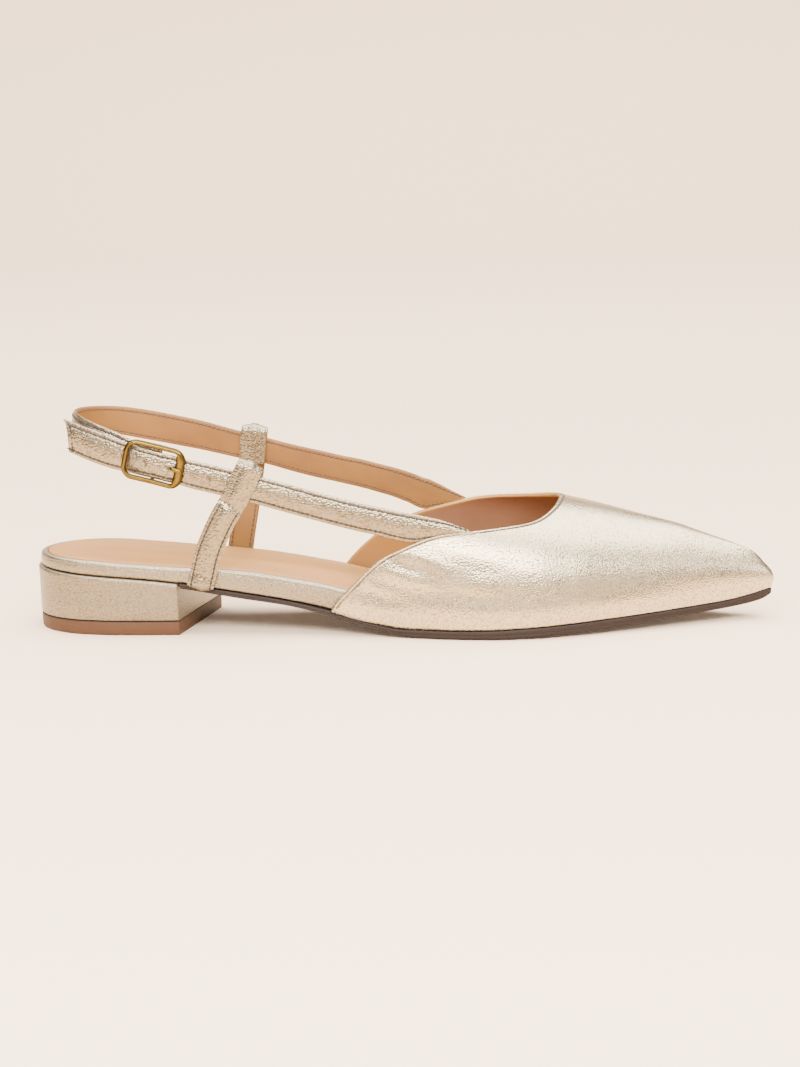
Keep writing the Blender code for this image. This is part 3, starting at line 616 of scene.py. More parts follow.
def alongStretch(count, fineCount):
    coarse = 0.955 * np.linspace(0, 1, count - fineCount) ** 1.15
    return np.concatenate([coarse, 0.955 + 0.045 * np.linspace(0, 1, fineCount + 1)[1:]])


def distanceTo(points, line):  # shortest distance of each point to a line of points
    flat = points.reshape(-1, 3)
    best = np.full(len(flat), 1e9)
    for start in range(0, len(line), 60):
        part = line[start : start + 60]
        away = np.sqrt(((flat[:, None, :] - part[None]) ** 2).sum(-1)).min(1)
        best = np.minimum(best, away)
    return best.reshape(points.shape[:-1])


def unevenness(points, scale, amount):
    flat = points.reshape(-1, 3)
    values = [noise.noise(Vector(p) * scale) for p in flat]
    return amount * np.array(values).reshape(points.shape[:-1])


def creaseRelief(points):
    relief = np.zeros(points.shape[:-1])
    x, z = points[..., 0], points[..., 2]
    for startX, startZ, endX, endZ, width, depth in upper["creases"]:
        along = (x - startX) / (endX - startX)
        sag = upper["creaseSag"] * np.sin(np.pi * np.clip(along, 0, 1))
        off = z - (startZ + (endZ - startZ) * along - sag)
        fade = ramp(along, 0, 0.3) * (1 - ramp(along, 0.6, 1))
        relief -= depth * fade * bump(off, 0, width)
        relief += 0.5 * depth * fade * (bump(off, 1.7 * width, width) + bump(off, -1.7 * width, width))
    window = ramp(x, 112, 124) * (1 - ramp(x, 150, 185)) * ramp(z, 9, 15) * (1 - ramp(z, 27, 34))
    slanted = np.stack([x * 0.06 + z * 0.02, points[..., 1] * 0.05, z * 0.3 + x * 0.075], -1)
    return relief + unevenness(slanted, 1.0, upper["wrinkle"]) * window


def vampHalfGrid(half):
    s = alongStretch(upper["rows"], upper["topRows"])
    t = half.turns
    radius = shoe["wall"] / 2
    shiftS, shiftT = half.inFrom(t, radius)
    weight = s**6
    grid = half.at(s[None] + shiftS[:, None] * weight, t[:, None] + shiftT[:, None] * weight)
    normals = surfaceNormals(grid, half.side)
    line = half.at(np.ones(500), np.linspace(0, 1, 500))
    away = distanceTo(grid, line)
    relief = creaseRelief(grid) if half.side < 0 else np.zeros(away.shape)
    relief += unevenness(grid, 0.05, upper["unevenness"]) * ramp(away, 2, 8)
    x, height = grid[..., 0], grid[..., 2] - soleTop(grid[..., 0])
    fullness, fullAt, fullWidth = upper["fullness"]
    relief += fullness * bump(height, fullAt, fullWidth) * ramp(x, 108, 124) * (1 - ramp(x, 205, 245))
    relief -= upper["seamDepth"] * bump(away, upper["seamInset"], upper["seamWidth"])
    relief += upper["foldPuff"] * bump(away, 0.6, 0.5)
    relief *= ramp(np.broadcast_to(s, relief.shape), 0.0, 0.08)
    outer = grid + normals * relief[..., None]
    # painted shade along the topline's stitch groove
    paintedShade = 0.6 * bump(away, upper["seamInset"], 0.3)
    return outer, grid, normals, paintedShade


def makeUpper():
    halves = [VampHalf(-1, toplineOuter), VampHalf(1, toplineInner)]
    made = [vampHalfGrid(half) for half in halves]
    shared = unit(made[0][2][-1] + made[1][2][-1])
    for outer, grid, normals, paintedShade in made:
        normals[-1] = shared
        normals[:, 0] = normals[:, 1]
    radius = shoe["wall"] / 2
    angles = np.linspace(0, np.pi, upper["rollSteps"] + 2)[1:-1]
    lines, marks = [], []
    for outer, grid, normals, paintedShade in made:
        inner = grid - normals * shoe["wall"]
        edge = unit(grid[:, -1] - grid[:, -3])
        edge = unit(edge - normals[:, -1] * (edge * normals[:, -1]).sum(1)[:, None])
        roll = [grid[:, -1] + edge * radius * math.sin(a) - normals[:, -1] * radius * (1 - math.cos(a))
                for a in angles]
        lines.append([outer, np.stack(roll, 1), inner[:, ::-1]])
        marks.append(np.concatenate([paintedShade, np.zeros((len(paintedShade), len(angles) + inner.shape[1]))], 1))
    middle = 0.5 * (lines[0][2][:, -1] + lines[1][2][:, -1])
    for parts in lines:
        parts[2][:, -1] = middle
        parts[0][-1] = made[0][0][-1]
        parts[1][-1] = 0.5 * (lines[0][1][-1] + lines[1][1][-1])
        parts[2][-1] = 0.5 * (lines[0][2][-1] + lines[1][2][-1])
    left = np.concatenate(lines[0], 1)
    right = np.concatenate(lines[1], 1)[::-1]
    grid = np.concatenate([left, right[1:]], 0)
    paintedShades = np.concatenate([marks[0], marks[1][::-1][1:]], 0)
    rows, cols = grid.shape[:2]
    faces = gridFaces(rows, cols)
    rollEnd = upper["rows"] + upper["rollSteps"]
    gold, facing = rollEnd - upper["goldInside"], rollEnd + upper["facingRows"]
    picks = [0 if k < gold else 2 if k < facing or grid[i, k, 0] < upper["wingLining"] else 1
             for i in range(rows - 1) for k in range(cols - 1)]
    for base in (0, (rows - 1) * cols):  # closes the foot of the wall
        for k in range(upper["rows"] - 1):
            faces.append((base + k, base + k + 1, base + cols - 2 - k, base + cols - 1 - k))
            picks.append(0)
    obj = meshObject("upperLeather", toRow(grid.reshape(-1, 3)), faces,
                     [vampGold, vampLining, sockLeather], picks, {"paintedShade": paintedShades.reshape(-1)})
    finishPiece(obj, "upper_leather", "upper")
    stitchLines, step = [], 0.004
    for half in halves:
        t = np.interp(np.linspace(0.02, 1, 700), np.linspace(0, 1, len(half.turns)), half.turns)
        shiftS, shiftT = half.inFrom(t, upper["seamInset"])
        s, t = 1 + shiftS, t + shiftT
        alongS = half.at(s + step, t) - half.at(s - step, t)
        alongT = half.at(s, t + step) - half.at(s, t - step)
        normal = unit(np.cross(alongS, alongT)) * half.side
        stitchLines.append((half.at(s, t) - normal * (upper["seamDepth"] - 0.12), normal))
    outerLine, innerLine = stitchLines
    return [np.concatenate([outer, inner[::-1][1:]]) for outer, inner in zip(outerLine, innerLine)]


toplineSeam = makeUpper()
print("upper made")


# Sole, heel and footbed: solids that follow the sole's outline
def planSolid(name, stations, profile, material, crown=None, sharp=45, crossSteps=6):
    # stations: x outside, x inside, extra inset; profile(x): inset, z, painted shade, rows from below to
    # above
    rings, paintedShades = [], []
    shares = np.linspace(0, 1, crossSteps + 2)[1:-1]
    for outerX, innerX, pinch in stations:
        left = [(*edgePoint(outerX, -1, row[0] + pinch), row[1]) for row in profile(outerX)]
        right = [(*edgePoint(innerX, 1, row[0] + pinch), row[1]) for row in profile(innerX)]
        a, b, c, d = (np.array(point) for point in (left[-1], right[-1], left[0], right[0]))
        width = np.linalg.norm(b - a)
        over = [a + (b - a) * m + np.array((0, 0, crown(m, width) if crown else 0.0)) for m in shares]
        rings.append(left + over + right[::-1] + [d + (c - d) * m for m in shares])
        marks = [row[2] for row in profile(outerX)]
        paintedShades.append(marks + [0] * crossSteps + marks[::-1] + [0] * crossSteps)
    rows, cols, levels = len(rings), len(rings[0]), len(left)
    faces = gridFaces(rows, cols, closed=True)
    for base in (0, (rows - 1) * cols):
        for k in range(levels - 1):
            a, b = base + k, base + 2 * levels + crossSteps - 1 - k
            faces.append((a, a + 1, b - 1, b))
        for start, end in ((levels - 1, levels + crossSteps), (2 * levels + crossSteps - 1, cols)):
            faces.append(tuple(base + k % cols for k in range(start, end + 1)))
    return meshObject(name, toRow(np.array(rings).reshape(-1, 3)), faces, [material],
                      marks={"paintedShade": np.array(paintedShades).reshape(-1)}, sharp=sharp)


def rearRun(lastOuter, lastInner, count):
    first = 0.004  # just ahead of the very back
    return [(first + (lastOuter - first) * u**1.8, first + (lastInner - first) * u**1.8, 0.0)
            for u in np.linspace(0, 1, count)]


def toeRun(start, end, count):
    xs = [end - (end - start) * (1 - u) ** 1.6 for u in np.linspace(0, 1, count)]
    return [(x, x, 0.0) for x in xs]


heel = {"foldRadius": 0.7, "liftFold": 0.3, "rearSteps": 70}


def breastFold(run, radius):  # rounds the corner between the side and the breast
    lastOuter, lastInner, pinch = run[-1]
    corner = []
    for a in np.linspace(0, np.pi / 2, 5):
        back = radius * (1 - math.sin(a))
        corner.append((lastOuter - back, lastInner - back, radius * (1 - math.cos(a))))
    return run[:-1] + corner


def makeHeelBlock():
    def profile(x):
        top, base = float(soleTop(x)) - shoe["gap"], shoe["liftHeight"] + shoe["gap"] * 0.5
        # third values: painted shade at the foot against the top lift and at the top under the rand
        return [(0.5, base, 0.9), (0.1, base + 0.15, 0.6), (-0.1, base + 0.45, 0),
                (-0.15, base + 0.35 * (top - base), 0), (-0.25, base + 0.7 * (top - base), 0),
                (-0.40, top - 1.5, 0), (-0.42, top - 0.9, 0), (-0.32, top - 0.45, 0),
                (-0.05, top - 0.12, 0.1), (0.35, top, 0.7), (0.9, top, 1)]

    lastOuter, lastInner = shoe["breastX"], shoe["breastX"] + shoe["breastSkew"]
    run = rearRun(lastOuter - heel["foldRadius"], lastInner - heel["foldRadius"], heel["rearSteps"])
    run = breastFold(run + [(lastOuter, lastInner, 0.0)], heel["foldRadius"])
    obj = planSolid("heelCover", run, profile, heelGold, sharp=60)
    return finishPiece(obj, "heel_cover", "heel_block")


def makeTopLift():
    def profile(x):
        top = shoe["liftHeight"]
        # third values: painted shade along the top edge, under the heel cover
        return [(0.9, 0.0, 0), (0.45, 0.12, 0), (0.25, 0.5, 0), (0.12, 0.5 * top, 0), (0.1, top - 0.5, 0),
                (0.12, top - 0.3, 0.9), (0.35, top - 0.05, 1), (0.8, top, 1)]

    run = rearRun(shoe["breastX"], shoe["breastX"] + shoe["breastSkew"], heel["rearSteps"])
    obj = planSolid("topLift", breastFold(run, heel["liftFold"]), profile, liftBrown, sharp=50)
    return finishPiece(obj, "top_lift", "top_lift")


def makeOutsole():
    def profile(x):
        low, top = float(soleUnder(x)), float(soleTop(x))
        mid = low + 0.45 * (top - low)
        # third values: painted shade in the groove round the middle of the edge and along the top under the
        # parts above
        return [(1.2, low, 0), (0.55, low + 0.12, 0), (0.25, low + 0.4, 0), (0.08, mid - 0.25, 0),
                (0.2, mid, 1), (0.05, mid + 0.25, 0), (0.0, top - 0.4, 0), (0.15, top - 0.12, 0.3),
                (0.5, top, 0.9), (1.4, top, 1)]

    waist = [(x, skewed(x), 0.0) for x in np.linspace(shoe["breastX"] + 0.6, 134, 60)]
    tread = [(x, x, 0.0) for x in np.linspace(136, 180, 26)]
    run = waist + tread + toeRun(182, shoe["length"] - 0.02, 60)
    obj = planSolid("outsoleEdge", run, profile, soleBrown, sharp=50)
    return finishPiece(obj, "outsole", "outsole")


footbedInset = steadyCurve([0, 92, 104, 113, 132, shoe["length"]], [0.6, 0.6, 1.5, 2.1, 2.9, 2.9])


def makeFootbed():
    def profile(x):
        edge, top = float(footbedInset(x)), float(rimTop(x))
        base = float(soleTop(x)) + (shoe["gap"] if x > shoe["breastX"] else 0.0)
        wide = shoe["rimWidth"]
        # third values: painted shade along the foot on the sole, in the small groove under the rim and at the
        # step down to the sock
        return [(edge + 1.3, base, 1), (edge + 0.5, base + 0.05, 1), (edge + 0.1, base + 0.35, 0.5),
                (edge, base + 0.9, 0), (edge, base + 0.5 * (top - base), 0), (edge + 0.02, top - 1.9, 0),
                (edge + 0.16, top - 1.45, 0.15), (edge + 0.1, top - 1.05, 0), (edge + 0.3, top - 0.5, 0),
                (edge + 0.7, top - 0.14, 0), (edge + 1.25, top, 0), (edge + 1.8, top - 0.06, 0),
                (edge + wide - 0.15, top - 0.3, 0.2), (edge + wide, top - shoe["sockStep"], 1)]

    run = rearRun(50, skewed(50), 60)
    run += [(x, skewed(x), 0.0) for x in np.linspace(51.5, 134, 66)]
    obj = planSolid("rand", run + toeRun(136, 261.5, 60), profile, randGold)
    return finishPiece(obj, "rand", "footbed")


def makeSock():
    def profile(x):
        edge, top = float(footbedInset(x)) + shoe["rimWidth"] + 0.1, float(rimTop(x))
        # third values: painted shade at the sock's edge where it meets the rand
        return [(edge, top - shoe["sockStep"] + 0.1, 1), (edge, top - 0.45, 0.8),
                (edge + 0.12, top - 0.12, 0.3), (edge + 0.4, top + 0.12, 0), (edge + 0.9, top + 0.28, 0),
                (edge + 1.6, top + 0.35, 0)]

    def crown(m, width):  # padded: higher in the middle where the sock is wide
        return 0.7 * min(1, width / 20) * 4 * m * (1 - m)

    run = rearRun(50, skewed(50), 60)
    run += [(x, skewed(x), 0.0) for x in np.linspace(51.5, 134, 50)]
    obj = planSolid("sock", run + toeRun(136, 253, 50), profile, sockLeather, crown, crossSteps=22)
    return finishPiece(obj, "sock", "insole_sock")


makeHeelBlock()
makeTopLift()
makeOutsole()
makeFootbed()
makeSock()
print("sole, heel and footbed made")

# Straps: x, y, top, bottom, thickness. Their ends run on under the wings' folded edges.
slingRows = [
    (157.0, 28.9, 39.6, 38.0, 0.7), (154.2, 29.1, 41.0, 37.6, 0.8), (150.0, 29.5, 43.0, 37.2, 1.0),
    (145.0, 29.9, 45.6, 36.2, 1.3), (140.2, 30.2, 47.7, 35.6, 1.5), (135.0, 30.2, 49.8, 37.9, 1.6),
    (129.0, 30.1, 51.7, 40.4, 1.6), (123.6, 29.7, 53.2, 42.2, 1.6), (116.4, 29.1, 55.2, 44.4, 1.6),
    (108.8, 28.4, 56.9, 46.4, 1.6), (101.4, 27.8, 58.8, 48.2, 1.6), (94.0, 27.4, 60.6, 50.2, 1.6),
    (81.0, 26.8, 64.1, 54.1, 1.6), (69.6, 26.5, 67.2, 56.7, 1.6), (56.8, 26.1, 70.9, 59.8, 1.6),
    (45.3, 25.3, 73.6, 62.3, 1.6), (35.0, 23.8, 75.8, 64.6, 1.6), (27.0, 21.4, 77.2, 66.6, 1.6),
    (20.8, 17.6, 77.9, 68.2, 1.6), (17.0, 12.4, 78.3, 68.9, 1.6), (15.2, 6.4, 78.6, 69.2, 1.6),
    (14.9, 0.0, 78.7, 69.4, 1.6), (16.0, -6.0, 78.6, 69.3, 1.6), (18.4, -11.3, 78.2, 68.9, 1.6),
    (22.2, -15.8, 77.0, 67.8, 1.6), (27.0, -18.9, 75.5, 66.0, 1.6), (33.0, -21.0, 73.4, 63.6, 1.6),
    (39.5, -22.2, 70.4, 60.7, 1.4), (44.4, -22.9, 68.3, 58.6, 0.7),
]
buckleStrapRows = [
    (162.0, -30.2, 36.6, 35.4, 0.7), (158.8, -30.3, 38.2, 35.9, 0.8), (155.0, -30.4, 39.7, 35.8, 1.0),
    (150.0, -30.5, 41.5, 35.3, 1.3), (145.0, -30.6, 42.8, 34.3, 1.5), (140.5, -30.8, 43.8, 33.7, 1.6),
    (135.3, -30.8, 44.9, 34.4, 1.6), (128.0, -30.7, 46.6, 36.3, 1.6), (121.0, -30.5, 48.1, 37.8, 1.6),
    (107.0, -29.8, 51.8, 41.4, 1.6), (93.0, -29.1, 55.7, 45.3, 1.6), (85.6, -28.8, 57.7, 47.4, 1.6),
    (76.0, -28.4, 60.2, 49.9, 1.6), (68.0, -28.0, 62.1, 51.8, 1.6), (61.0, -27.8, 63.8, 53.5, 1.5),
    (57.0, -27.85, 64.9, 54.8, 1.5), (52.6, -27.8, 65.9, 55.9, 1.5), (48.3, -27.4, 66.9, 57.0, 1.5),
    (44.0, -26.8, 68.0, 57.9, 1.5), (39.5, -25.75, 69.4, 58.8, 1.5), (34.5, -24.8, 71.1, 59.8, 1.6),
    (28.0, -23.3, 73.4, 61.6, 1.6), (21.5, -21.2, 75.5, 63.8, 1.6), (15.8, -18.8, 77.3, 65.8, 1.6),
]
# x, y, z of each side strap's middle line
outerRise = [
    (63.1, -27.75, 17.9), (64.2, -27.85, 22.1), (66.2, -28.5, 29.5), (69.1, -29.2, 36.4), (72.6, -29.9, 43.1),
    (76.0, -30.25, 48.6), (79.0, -30.5, 54.2), (82.0, -30.6, 60.2),
]
innerRise = [
    (70.0, 24.4, 17.0), (70.9, 25.0, 22.8), (72.2, 26.0, 31.1), (73.4, 26.9, 38.1), (74.6, 27.8, 46.3),
    (75.8, 28.4, 54.4), (76.6, 28.6, 60.4), (77.2, 28.6, 66.2),
]
strap = {
    "seamInset": 1.35,
    "seamDepth": 0.2,
    "puff": 0.16,
    "crown": 0.75,
    "liningInset": 0.22,
    "foldThick": 1.3,
    "sideWidth": 9.6,
    "sideFoldBack": 11.5,
    "flatInset": 2.7,  # the flat middle of a face starts here
    "fullHalf": 4.6,  # a narrower strap has narrower edges
    "outerCrease": 47.5,  # z of the folds where the side straps' loops are stitched down
    "innerCrease": 53.5,
}
buckle = {
    "x": 48.2,
    "y": -26.5,
    "z": 62.5,
    "slope": 13.5,
    "turn": 6.0,
    "long": 22.8,
    "high": 14.6,
    "barDepth": -2.1,
    "barRadius": 0.6,
    "out": 2.3,
    "dip": 0.6,
    "halfBar": 0.92,
    "wideBar": 1.7,
    "halfDepth": 0.75,
    "corner": 3.6,
}


def resampled(rows, spacing):
    rows = np.array(rows, float)
    lengths = np.concatenate([[0], np.cumsum(np.linalg.norm(np.diff(rows[:, :3], axis=0), axis=1))])
    curves = [flowingCurve(lengths, rows[:, k]) for k in range(rows.shape[1])]
    at = np.linspace(0, lengths[-1], max(2, round(lengths[-1] / spacing)) + 1)
    return np.stack([curve(at) for curve in curves], 1)


def directions(middles):
    return unit(np.gradient(middles, axis=0))


def bandPath(rows, spacing, face):
    path = resampled(rows, spacing)
    middles = np.stack([path[:, 0], path[:, 1], 0.5 * (path[:, 2] + path[:, 3])], 1)
    along = directions(middles)
    across = unit(np.array((0, 0, 1.0)) - along * along[:, 2:])
    return {"middles": middles, "across": across, "half": 0.5 * (path[:, 2] - path[:, 3]) * across[:, 2],
            "thick": path[:, 4], "face": face}


def bucklePoint(along, up, out):
    slope, turn = math.radians(buckle["slope"]), math.radians(buckle["turn"])
    x = along * math.cos(slope) + up * math.sin(slope)
    z = -along * math.sin(slope) + up * math.cos(slope)
    y = buckle["y"] - x * math.sin(turn) - out * math.cos(turn)
    return np.array((buckle["x"] + x * math.cos(turn) - out * math.sin(turn), y, buckle["z"] + z))


def strapSection():
    # one ring: share of the middle, side, inset, height in half thicknesses, lift in mm, painted shade at the
    # stitch lines, material
    ring, liningInset, seamInset = [], strap["liningInset"], strap["seamInset"]
    for side in (-1, 1):
        edge = [(strap["flatInset"], 1, 0, 0), (2.1, 1, 0, 0), (1.75, 1, -0.4, 0.2), (seamInset, 1, -1, 1),
                (1.0, 1, -0.4, 0.2), (0.65, 1, 0, 0), (0.32, 0.86, 0, 0), (0.1, 0.55, 0, 0),
                (0.0, 0.1, 0, 0), (0.06, -0.25, 0, 0)]
        lining = [(liningInset, -0.3, 0, 0.6), (liningInset, -0.72, 0, 0), (liningInset + 0.2, -0.95, 0, 0),
                  (0.9, -1, 0, 0), (seamInset, -1, 0.4, 1), (1.8, -1, 0, 0)]
        ring.append([(None, side, *row, 0) for row in edge] + [(None, side, *row, 1) for row in lining])
    top = [(m, 0, 0, 1, 1, 0, 0) for m in np.linspace(-1, 1, 9)[1:-1]]
    under = [(m, 0, 0, -1, 1, 0, 1) for m in np.linspace(1, -1, 5)[1:-1]]
    return ring[0][::-1] + top + ring[1] + under


def crownAt(share):  # the gold face is rounded across: higher in the middle, lower at the edges
    return strap["crown"] * (0.2 - share**2)


def makeStrap(name, path, node, stitched=1.0, puffs=None, dips=0.0, holes=(), cutEnd=None):
    middles, across, half, thick = path["middles"], path["across"], path["half"], path["thick"]
    along = directions(middles)
    normal = unit(np.cross(along, across)) * path["face"]
    count = len(middles)
    stitched = np.broadcast_to(stitched, count)
    puffs = np.full(count, strap["puff"]) if puffs is None else puffs
    small = np.clip(half / strap["fullHalf"], 0.05, 1)
    section = strapSection()
    cols, paintedShades = [], []
    for share, side, inset, level, lift, paintedShade, pick in section:
        if share is not None:
            v = share * (half - strap["flatInset"] * small)
            h = level * thick / 2 + (puffs * (1 - share**2) if level > 0 else 0)
        else:
            v = side * (half - inset * small)
            h = level * thick / 2 + strap["seamDepth"] * lift * stitched
        if level > 0:
            h = h + crownAt(v / np.maximum(half, 0.1)) * min(level, 1)
        move = np.zeros(count)
        if cutEnd is not None:
            move = cutEnd(v / np.maximum(half, 0.1), np.arange(count) / (count - 1))
        pit = np.zeros(count)
        if level > 0:
            for holeMiddle, radius in holes:
                away = np.linalg.norm(middles + across * v[:, None] - holeMiddle, axis=1)
                pit += ramp(-away, -radius * 1.35, -radius * 0.75)
        pit = np.clip(pit, 0, 1)
        h = h - pit * 1.0 - dips * max(level, 0)
        cols.append(middles + across * v[:, None] + normal * h[:, None] + along * move[:, None])
        # painted shade along the stitch lines, and stronger in the punched holes
        paintedShades.append(np.maximum(paintedShade * stitched, pit * 1.6))
    grid = np.stack(cols, 1)
    rows, width = grid.shape[:2]
    faces = gridFaces(rows, width, closed=True)
    pickRow = [section[k][6] for k in range(width)]
    picks = [max(pickRow[k], pickRow[(k + 1) % width]) for i in range(rows - 1) for k in range(width)]
    faces += [tuple(range(width))[::-1], tuple((rows - 1) * width + k for k in range(width))]
    picks += [0, 0]
    obj = meshObject(name, toRow(grid.reshape(-1, 3)), faces, [strapGold, strapLining], picks,
                     {"paintedShade": np.stack(paintedShades, 1).reshape(-1)}, sharp=60)
    return finishPiece(obj, "strap_leather", node)


def strapSeams(path, start, end, face):  # two rows of stitch points on one face
    normal = unit(np.cross(directions(path["middles"]), path["across"])) * path["face"]
    keep = slice(start, end)
    sunk = strap["seamDepth"] * 0.45 if face > 0 else 0.08
    lines = []
    for side in (-1, 1):
        inset = strap["seamInset"] * np.clip(path["half"] / strap["fullHalf"], 0.05, 1)
        v = side * (path["half"] - inset)
        h = face * (path["thick"] / 2 - sunk)
        if face > 0:
            h = h + crownAt(v / path["half"])
        points = path["middles"] + path["across"] * v[:, None] + normal * h[:, None]
        lines.append((points[keep], (normal * face)[keep]))
    return lines


def joinPaths(path, middles, across, half, thick):
    added = {"middles": middles, "across": across, "half": half, "thick": thick}
    joined = {key: np.concatenate([path[key], more]) for key, more in added.items()}
    return {**joined, "face": path["face"]}


def makeSling():
    path = bandPath(slingRows, 0.8, 1)
    reach = buckle["barRadius"] + shoe["gap"] + 0.3
    turn = np.radians(np.arange(-90, 95, 10))
    fold = [(reach * math.cos(a), buckle["barDepth"] + reach * math.sin(a)) for a in turn]
    fold.append((-2.4, buckle["barDepth"] + reach))
    middles = np.array([bucklePoint(along, 0.0, out) for along, out in fold])
    barWay = unit(bucklePoint(0, 1, 0) - bucklePoint(0, 0, 0))
    count = len(fold)
    whole = joinPaths(path, middles, np.tile(barWay, (count, 1)), np.full(count, 4.7), np.full(count, 0.6))
    makeStrap("slingBand", whole, "sling_strap")
    last = len(path["middles"]) - 9
    return strapSeams(path, 5, last, 1), strapSeams(path, 5, last, -1)


strapHoles = {"x": (75.5, 67.5, 52.6, 44.5, 37.5), "radius": 0.85}
strapEnd = {"slant": 1.9, "tip": 1.5, "hollow": 0.7}


def makeBuckleStrap():
    path = bandPath(buckleStrapRows, 0.55, -1)
    holes = []
    for x in strapHoles["x"]:
        nearest = int(np.argmin(np.abs(path["middles"][:, 0] - x)))
        holes.append((path["middles"][nearest], strapHoles["radius"]))

    def cutEnd(v, u):  # the free end is cut on a slant with a drawn out upper corner
        cut = strapEnd["slant"] * v + strapEnd["tip"] * np.clip(v, 0, 1) ** 3
        return ramp(u, 0.93, 1.0) * (cut - strapEnd["hollow"] * (1 - v**2))

    makeStrap("buckleStrap", path, "buckle_strap", holes=holes, cutEnd=cutEnd)
    last = len(path["middles"]) - 4
    faceRows, backRows = strapSeams(path, 8, last, 1), strapSeams(path, 8, last, -1)
    v = np.linspace(-0.72, 0.72, 20)  # the seam across the free end
    half, along = path["half"][last], directions(path["middles"])[last]
    normal = unit(np.cross(along, path["across"][last])) * path["face"]
    move = cutEnd(v, np.array(last / (len(path["middles"]) - 1))) - 0.2
    row = path["middles"][last] + path["across"][last] * (half * v)[:, None] + along * move[:, None]
    row = row + normal * (path["thick"][last] / 2 + strap["puff"] * (1 - v**2) - 0.05)[:, None]
    return faceRows + [(row, np.tile(normal, (20, 1)))], backRows


def foldedPath(rise, side):
    rows = np.array(rise, float)
    start = rows[0] + np.array((-0.15, -side * 1.3, -0.9))
    risePath = resampled([tuple(start)] + [tuple(r) for r in rows], 0.55)
    climb = unit(rows[-1] - rows[-2])
    inwards = np.array((0.0, -side, 0.0))
    inwards = unit(inwards - climb * inwards.dot(climb))
    reach = 0.5 * (strap["foldThick"] + 1.6) + 2 * shoe["gap"]
    top = risePath[-1]
    turn = np.radians(np.arange(10, 181, 10))
    arc = [top + inwards * reach * (1 - math.cos(a)) + climb * reach * math.sin(a) for a in turn]
    back = [top + inwards * 2 * reach - climb * strap["sideFoldBack"] * u for u in np.linspace(0, 1, 21)[1:]]
    middles = np.concatenate([risePath, arc, back])
    steady = len(risePath)
    along = directions(middles)
    out = np.array((0.0, side, 0.0))
    acrosses = np.tile(unit(np.cross(out, climb)), (len(middles), 1))
    acrosses[:steady] = unit(np.cross(out, along[:steady]))
    acrosses[steady - 12 : steady] = acrosses[steady]
    count = len(middles)
    return {"middles": middles, "across": acrosses, "half": np.full(count, strap["sideWidth"] / 2),
            "thick": np.full(count, strap["foldThick"]), "face": 1}, steady


def makeSideStrap(name, node, rise, side, crease):
    path, steady = foldedPath(rise, side)
    z = path["middles"][:, 2]
    rising = np.arange(len(z)) < steady
    stitched = np.where(rising, 1 - ramp(z, crease - 2.0, crease - 0.8), 0)
    puffs = np.full(len(z), strap["puff"])
    valley = np.where(rising, bump(z, crease, 0.9), 0)
    hump = np.where(rising, bump(z, crease - 3.2, 2.0), 0)
    puffs = puffs + 0.45 * hump + np.where(rising, 0.35 * ramp(z, crease, crease + 5), 0.3)
    makeStrap(name, path, node, stitched=stitched, puffs=puffs, dips=0.5 * valley - 0.15 * hump)
    last = int(np.argmin(np.abs(z[:steady] - (crease - 1.2))))
    return strapSeams(path, 4, last, 1), strapSeams(path, 4, last, -1)


strapRows = [
    makeSling(),
    makeBuckleStrap(),
    makeSideStrap("sideStrapOuter", "side_strap_outer", outerRise, -1, strap["outerCrease"]),
    makeSideStrap("sideStrapInner", "side_strap_inner", innerRise, 1, strap["innerCrease"]),
]
print("straps made")


# Buckle: a frame with its centre bar, and the prong
def saddle(along):
    share = min(abs(along) / 8.2, 1.0)
    return buckle["out"] - buckle["dip"] * (1 - share * share)


def framePath(steps, longest):
    halfLong, halfHigh = buckle["long"] / 2 - buckle["halfBar"], buckle["high"] / 2 - buckle["halfBar"]
    radius = buckle["corner"]
    points = []
    for sx, sz, start in ((1, 1, 0), (-1, 1, 90), (-1, -1, 180), (1, -1, 270)):
        for i in range(steps + 1):
            a = math.radians(start + 90 * i / steps)
            along, up = sx * (halfLong - radius), sz * (halfHigh - radius)
            points.append((along + radius * math.cos(a), up + radius * math.sin(a)))
    filled = []
    for a, b in zip(points, points[1:] + points[:1]):
        pieces = max(1, math.ceil(math.dist(a, b) / longest))
        filled += [(a[0] + (b[0] - a[0]) * i / pieces, a[1] + (b[1] - a[1]) * i / pieces)
                   for i in range(pieces)]
    return filled


def tube(places, radii, steps=16):  # a round rod through buckle points
    places = np.array(places, float)
    along = directions(places)
    side = unit(np.cross(along, np.array((0.31, 0.2, 0.93))))
    other = np.cross(along, side)
    rings, angles = [], 2 * np.pi * np.arange(steps) / steps
    for i, radius in enumerate(radii):
        circle = side[i] * np.cos(angles)[:, None] + other[i] * np.sin(angles)[:, None]
        rings.append(places[i] + circle * radius)
    grid = np.array(rings)
    faces = gridFaces(len(places), steps, closed=True)
    faces += [tuple(range(steps))[::-1], tuple((len(places) - 1) * steps + k for k in range(steps))]
    return grid.reshape(-1, 3), faces


